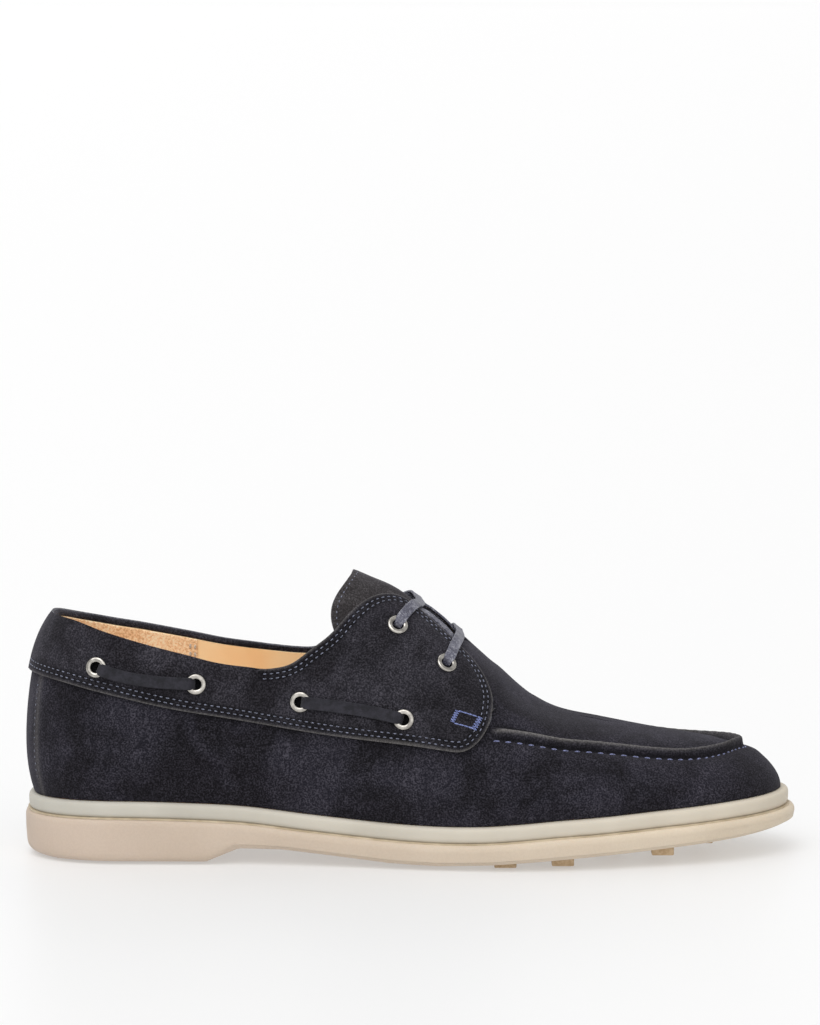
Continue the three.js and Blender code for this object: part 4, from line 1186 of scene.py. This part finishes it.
def strap_rows(start, end, side, sag):
    """From one eyelet's hole over its ring, down on the band, and over the other ring into its hole."""
    (x0, turn0), (x1, turn1) = EYELETS[start], EYELETS[end]
    rows = [(x0 + ahead, out) for ahead, out in STRAP_REST]
    rows += [(x0 + (x1 - x0) * part, 2.3) for part in (0.36, 0.5, 0.64)]
    rows += [(x1 - ahead, out) for ahead, out in reversed(STRAP_REST)]
    made = []
    for x, out in rows:
        part = (x - x0) / (x1 - x0)
        turn = turn0 + (turn1 - turn0) * part - sag * math.sin(math.pi * min(1, max(0, part)) ** 0.75)
        made.append((x, turn, side, out))
    return made


def make_side_straps():
    made = []
    for side, sign in SIDES.items():
        for part, start, end, sag in (("back", "side_1", "side_2", 1.3), ("front", "side_3", "side_4", 0.15)):
            strap = lace(f"strap_{side}_{part}", strap_rows(start, end, sign, sag), STRAP, CUT_EDGE, 4.7, 1.05)
            for face in strap.data.polygons:
                up = max(abs(face.normal.dot(Vector(facing(float(way_of(100, sign)), 30)))), 0)
                face.material_index = 1 if face.area > 0 and up < 0.45 and abs(face.normal.z) > 0.6 else 0
            made.append((strap, f"side_lace_{side}_{part}"))
    return made


# ---- stitches ----

def one_stitch(long, thick, finish):
    """A short thread that dips into the leather at both ends."""
    bare()
    bpy.ops.mesh.primitive_uv_sphere_add(segments=8, ring_count=6, radius=0.5 * MM)
    stitch = bpy.context.object
    bpy.ops.object.mode_set(mode="EDIT")
    bpy.ops.mesh.select_all(action="SELECT")
    bpy.ops.transform.resize(value=(long, thick, thick * 0.8))
    leave_edit()
    for vertex in stitch.data.vertices:
        vertex.co.z -= (vertex.co.x / (long * MM)) ** 2 * thick * 1.5 * MM
    only(stitch)
    bpy.ops.object.shade_smooth()
    return coated(stitch, finish)


def band_out(way, turn):
    return BAND_FACE + creased(way, turn) - 0.12


def make_band_stitches():
    seats = []
    for row in BAND_ROWS:
        seats += seats_on(row, band_out, 2.45, ends=0.8)
    return many("band_stitches", one_stitch(1.5, 0.5, SEAM_THREAD), seats)


def make_tongue_stitches():
    seats = []
    for sign in (-1, 1):
        part = np.concatenate([np.linspace(0.45, 0.97, 40), np.full(60, 0.97)])
        across = np.concatenate([np.full(40, 0.94), np.linspace(0.94, 0.02, 60)])
        line = Line(*tongue_place(part, sign * across))
        seats += seats_on(line, lambda way, turn: tongue_out(way, turn) - 0.05, 2.5, ends=0.8)
    return many("tongue_stitches", one_stitch(1.5, 0.5, SEAM_THREAD), seats)


def apron_seam():
    half = np.linspace(way_of(BAND_FRONT + 0.3), math.pi, 400)
    ways = np.concatenate([half, 2 * math.pi - half[-2::-1]])
    x = station_of(ways)
    return Line(ways, apron_of(x) - seam_below(x) / per_degree(ways)).even(0.5)


def make_hand_stitches():
    seam = apron_seam()
    spots, at = [], 1.9
    while at < seam.length[-1] - 1.5:
        x = station_of(seam.at(at)[0])
        spots.append((at, 1.0 - 0.36 * float(ease(x, 240, 280))))
        at += 4.7 * spots[-1][1]
    stitch = one_stitch(3.0, 0.8, HAND_THREAD)
    seats = []
    for at, size in spots:
        piece = Line(*seam.at(np.array([at - 1.2, at, at + 1.2])))
        place = seats_on(piece, lambda way, turn: suede_out(way, turn) + 0.05, 9.0)[0]
        seats.append(place @ Matrix.Rotation(math.radians(4), 4, "Z") @ Matrix.Diagonal((size, 0.6 + 0.4 * size, 1, 1)))
    return many("hand_stitches", stitch, seats)


def make_heel_stitches():
    ways = np.linspace(0, 0.7, 80)
    way = np.interp(BACKSTAY - 1.2, heel_across(ways), ways)
    seats = []
    for sign in (-1, 1):
        line = Line(np.full(60, sign * way), np.linspace(4, 31.5, 60))
        seats += seats_on(line, lambda way, turn: suede_out(way, turn) - 0.1, 2.6, ends=0.5)
    return many("heel_stitches", one_stitch(1.4, 0.5, SEAM_THREAD), seats)


def make_lining_stitches():
    seats = []
    for x in (LINING_SEAM_X - 0.9, LINING_SEAM_X - 2.8):
        for side in SIDES.values():
            way = float(way_of(x, side))
            edge = float(throat_edge(np.array(way))) - LINING_BELOW / float(per_degree(way))
            line = Line(np.full(40, way), np.linspace(6, edge - 1.0, 40))
            seats += [place @ Matrix.Rotation(math.pi, 4, "X") for place in
                      seats_on(line, lambda way, turn: 0 * turn - UPPER_WALL - 0.85, 3.2)]
    return many("lining_stitches", one_stitch(2.3, 0.9, PALE_THREAD), seats)


# two bar tacks on each eyestay, from the lower to the upper end, and two plain runs that join them
TACKS = table("x0 turn0 x1 turn1 wide", (165.1, 32.4, 166.9, 36.6, 2.3), (173.2, 33.4, 175.4, 38.8, 2.5))
TACK_JOINS = table("x0 turn0 x1 turn1", (167.4, 36.9, 174.2, 38.5), (165.8, 32.2, 173, 33.6))


def make_bar_tacks():
    """Two dense bar tacks joined by two plain runs, where lining and eyestay are held down."""
    seats = []
    for side in SIDES.values():
        for i in range(len(TACKS["x0"])):
            x0, turn0, x1, turn1, wide = (TACKS[key][i] for key in ("x0", "turn0", "x1", "turn1", "wide"))
            t = np.linspace(0, 1, 11)
            for step, x, turn in zip(range(11), x0 + (x1 - x0) * t, turn0 + (turn1 - turn0) * t):
                lean = side * (14 if step % 2 else -6)
                seats.append(seat(float(way_of(x, side)), turn, BAND_FACE + 0.05, lean)
                             @ Matrix.Diagonal((wide / 2.5, 0.62, 1, 1)))
        for i in range(len(TACK_JOINS["x0"])):
            x0, turn0, x1, turn1 = (TACK_JOINS[key][i] for key in ("x0", "turn0", "x1", "turn1"))
            t = np.linspace(0, 1, 20)
            line = Line(way_of(x0 + (x1 - x0) * t, side), turn0 + (turn1 - turn0) * t)
            seats += seats_on(line, lambda way, turn: 0 * turn + BAND_FACE - 0.02, 2.0)
    return many("bar_tacks", one_stitch(2.5, 0.62, TACK_THREAD), seats)


# ---- sole ----

SOLE_EDGE = {"heel": 3.3, "toe": 5.5}
MIDSOLE_EDGE = {"heel": 2.0, "toe": 3.0}
MIDSOLE_THICK = 6.2


def edge_point(way, edge, inset, height):
    """A point level with the feather line's outline, moved out by an edge's width less an inset."""
    ahead = foot_line(way + WAY_STEP) - foot_line(way - WAY_STEP)
    normal = unit(np.stack([ahead[:, 1], -ahead[:, 0]], -1))
    foot = foot_line(way)
    x = foot[:, 0]
    margin = edge["heel"] + (edge["toe"] - edge["heel"]) * (x - HEEL_X) / (TOE_X - HEEL_X) - inset
    flat = foot[:, :2] + normal * margin[:, None]
    return np.concatenate([flat, height[:, None]], 1)


def plate(name, cells, edge, profile, top_of, bottom_of, core=6):
    """A plate with the shoe's outline: a skin from the middle of its top round its edge to below.

    The profile's rows are (inset, share of the height from the top, extra height)."""
    way_at = feather_ways(cells)
    profile = np.array(profile, float)
    rows = len(profile) + 2 * core - 1

    def place(u, v):
        way = way_at(u)
        row = np.round(v * rows).astype(int)
        ring = np.clip(row - core, 0, len(profile) - 1)
        x = station_of(way)
        top, bottom = top_of(x), bottom_of(x)
        inset, share, extra = profile[ring].T
        height = top + (bottom - top) * share + extra
        points = edge_point(way, edge, inset, height)
        pull = np.where(row < core, 1 - row / core, np.where(row > rows - core, (row - rows + core) / core, 0.0))
        middle = np.stack([x, centre_of(x), height], -1)
        return points + (middle - points) * pull[:, None]
    made = pulled(name, cells, rows, lambda u, v: place(u, 1 - v))
    unroll(made, cells, way_at, place, rows)
    return welded(made, outward=True)


def unroll(piece, cells, way_at, place, rows):
    """A map of the sole's side in millimetres: length round the outline, and height."""
    sheet = piece.data.uv_layers.active
    sheet.name = "unrolled"
    grid = np.empty(len(piece.data.loops) * 2, np.float32)
    sheet.data.foreach_get("uv", grid)
    grid = grid.reshape(-1, 2).astype(float)
    ring = foot_line(way_at(np.arange(cells + 1) / cells))
    length = np.concatenate([[0], np.cumsum(np.linalg.norm(np.diff(ring, axis=0), axis=1))])
    u = np.clip(grid[:, 0], 0, 1)
    heights = place(u, 1 - np.clip(grid[:, 1], 0, 1))[:, 2]
    unrolled = np.stack([np.interp(u, np.arange(cells + 1) / cells, length), heights], 1)
    sheet.data.foreach_set("uv", unrolled.astype(np.float32).ravel())


def sole_top(x):
    return feather_of(x) - MIDSOLE_THICK - 2 * GAP


OUTSOLE_PROFILE = [
    (3.6, 0, 0), (2.4, 0, 0), (1.4, 0, -0.12), (0.75, 0, -0.45), (0.3, 0, -1.0), (0.06, 0, -1.8), (0, 0, -2.6),
    (0.05, 0.36, 0), (0.14, 0.5, 0), (0.3, 0.64, 0), (0.5, 0.78, 0), (0.8, 1, 2.2), (1.2, 1, 1.4), (1.9, 1, 0.65),
    (2.8, 1, 0.18), (4.2, 1, 0), (7.0, 1, 0)]
MIDSOLE_PROFILE = [
    (3.4, 0, 0), (1.9, 0, 0), (1.15, 0, -0.1), (0.55, 0, -0.4), (0.16, 0, -0.95), (0, 0, -1.7), (0, 0.45, 0),
    (0.04, 0.62, 0), (0.12, 1, 1.5), (0.34, 1, 0.8), (0.8, 1, 0.25), (1.5, 1, 0), (3.0, 1, 0)]


def make_sole():
    outsole = plate("outsole_rubber", 520, SOLE_EDGE, OUTSOLE_PROFILE, sole_top, tread_of)
    coated(smoothed(outsole, 50), CREAM_RUBBER)
    midsole = plate("midsole_strip", 520, MIDSOLE_EDGE, MIDSOLE_PROFILE, lambda x: feather_of(x) - GAP,
                    lambda x: feather_of(x) - GAP - MIDSOLE_THICK)
    coated(smoothed(midsole, 50), PALE_RUBBER)
    inside = {"heel": -UPPER_WALL - 0.8, "toe": -UPPER_WALL - 0.8}
    sock = plate("insole_sock", 300, inside, [(2.0, 0, 0), (0.7, 0, -0.1), (0.15, 0, -0.4), (0, 0, -0.9), (0, 1, 0),
                                              (2.0, 1, 0)],
                 lambda x: feather_of(x) + 3.0, feather_of)
    coated(smoothed(sock, 50), SMOOTH_LINING)
    return outsole, midsole, sock


def make_cement_line():
    """The thin line of cement that shows between midsole and outsole."""
    way = feather_ways(520)(np.arange(521) / 520)
    x = station_of(way)
    spine = edge_point(way, MIDSOLE_EDGE, np.full(521, 0.5), sole_top(x) + 0.15)
    normal = np.stack([spine[:, 0] * 0, spine[:, 0] * 0, spine[:, 0] * 0 + 1], -1)
    section = [(-0.3, -0.9), (0.3, -0.9), (0.42, 0), (0.3, 0.6), (-0.3, 0.6), (-0.42, 0)]
    line = swept("cement_line", spine, normal, section)
    return smoothed(coated(line, CEMENT), 60)


STUDS = [(185.5, (-38, 0, 40)), (196.5, (-19, 22)), (207.5, (-36.5, 3, 41)), (227, (-16, 24)),
         (246, (-28, 5, 37)), (262, (-8, 21))]
STUD_DEEP, STUD_SUNK = 3.6, 1.6
PADS = [(34, 0, 42, 40), (157, -1, 17, 66)]


def block(long, wide, high, bevel):
    """A moulded block with rounded corners."""
    bare()
    bpy.ops.mesh.primitive_cube_add(size=1)
    made = bpy.context.object
    bpy.ops.object.mode_set(mode="EDIT")
    bpy.ops.mesh.select_all(action="SELECT")
    bpy.ops.transform.resize(value=(long * MM, wide * MM, high * MM))
    bpy.ops.mesh.bevel(offset=bevel * MM, segments=3, affect="EDGES")
    leave_edit()
    return made


def make_studs():
    pieces = []
    for x, row in STUDS:
        for y in row:
            under = float(tread_of(x))
            bottom = max(0.0, under - STUD_DEEP)
            top = under + STUD_SUNK
            stud = block(8.5, 8.5, top - bottom, 0.5)
            place = Matrix.Translation(Vector((np.array([x, y, (top + bottom) / 2]) + HEEL_END) * MM))
            pieces.append(many("stud", stud, [place]))
    for x, y, long, wide in PADS:
        high = float(tread_of(x)) + STUD_SUNK
        pad = block(long, wide, high, 0.35)
        place = Matrix.Translation(Vector((np.array([x, y, high / 2]) + HEEL_END) * MM))
        pieces.append(many("pad", pad, [place]))
    bare()
    for piece in pieces:
        piece.select_set(True)
    bpy.context.view_layer.objects.active = pieces[0]
    bpy.ops.object.join()
    pieces[0].name = pieces[0].data.name = "tread_studs"
    return smoothed(coated(pieces[0], STUD_RUBBER), 40)


# ---- the shoe put together ----

def fitted(piece, slot_name, *nodes):
    """The piece rides on the shoe and stands for its nodes; the slot name is not used."""
    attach(piece, "root")
    if nodes:
        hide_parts(*nodes)


outsole, midsole, sock = make_sole()
fitted(outsole, "outsole_rubber", "outsole")
fitted(midsole, "midsole_rubber", "welt_midsole")
fitted(sock, "lining_leather", "insole")
fitted(make_cement_line(), "outsole_rubber")
fitted(make_studs(), "outsole_rubber")

fitted(make_upper(), "suede", "upper")
lining_front, lining_heel = make_lining()
fitted(lining_front, "lining_leather")
fitted(lining_heel, "lining_leather")
fitted(make_collar_roll(), "band_suede")
fitted(make_band(), "band_suede", "collar_band")
fitted(make_tongue(), "tongue_suede", "tongue")

for eyelet, node in make_eyelets():
    fitted(eyelet, "nickel", node)
fitted(make_hole_shade(), "strap_leather")
fitted(make_front_lace(), "waxed_lace", "front_lace")
for strap, node in make_side_straps():
    fitted(strap, "strap_leather", node)

fitted(make_band_stitches(), "waxed_lace")
fitted(make_tongue_stitches(), "waxed_lace")
fitted(make_hand_stitches(), "waxed_lace")
fitted(make_heel_stitches(), "waxed_lace")
fitted(make_lining_stitches(), "lining_leather")
fitted(make_bar_tacks(), "waxed_lace")


# ---- floor, light and camera ----

def make_floor():
    bare()
    bpy.ops.mesh.primitive_plane_add(size=80, location=(0, 20, -0.0002))
    floor = bpy.context.object
    floor.name = "studio_floor"
    finish = Finish("studio_floor", (0.5, 0.5, 0.5), 0.4, specular_ior_level=0.3,
                    emission_color=(1, 1, 1, 1), emission_strength=0.35)
    floor.data.materials.append(finish.made)


def make_light():
    world = bpy.data.worlds.new("studio")
    bpy.context.scene.world = world
    world.use_nodes = True
    world.node_tree.nodes["Background"].inputs["Color"].default_value = (1, 1, 1, 1)
    world.node_tree.nodes["Background"].inputs["Strength"].default_value = 0.66
    for name, strength, angle, tilt, swing in (
            ("key", 1.25, 50, 36, -25), ("front", 0.75, 70, 66, 10), ("rim", 0.5, 50, -45, 20)):
        sun = bpy.data.lights.new(name, "SUN")
        sun.energy = strength
        sun.angle = math.radians(angle)
        lamp = bpy.data.objects.new(name, sun)
        lamp.rotation_euler = (math.radians(tilt), 0, math.radians(swing))
        bpy.context.collection.objects.link(lamp)


def make_camera():
    """Level with the outer side, a little above, as far off as a studio camera stands."""
    distance, above, lens, look_up = 2.2, 8.8, 199.0, 2.244
    aim = Vector((-0.0004, -0.002, 0.045))
    rise = math.radians(above)
    lens_data = bpy.data.cameras.new("studio_camera")
    lens_data.lens = lens
    camera = bpy.data.objects.new("studio_camera", lens_data)
    camera.location = aim + distance * Vector((0, -math.cos(rise), math.sin(rise)))
    camera.rotation_euler = (math.radians(90 - above + look_up), 0, 0)
    bpy.context.collection.objects.link(camera)
    bpy.context.scene.camera = camera
    bpy.context.scene.view_settings.view_transform = "Standard"


make_floor()
make_light()
make_camera()
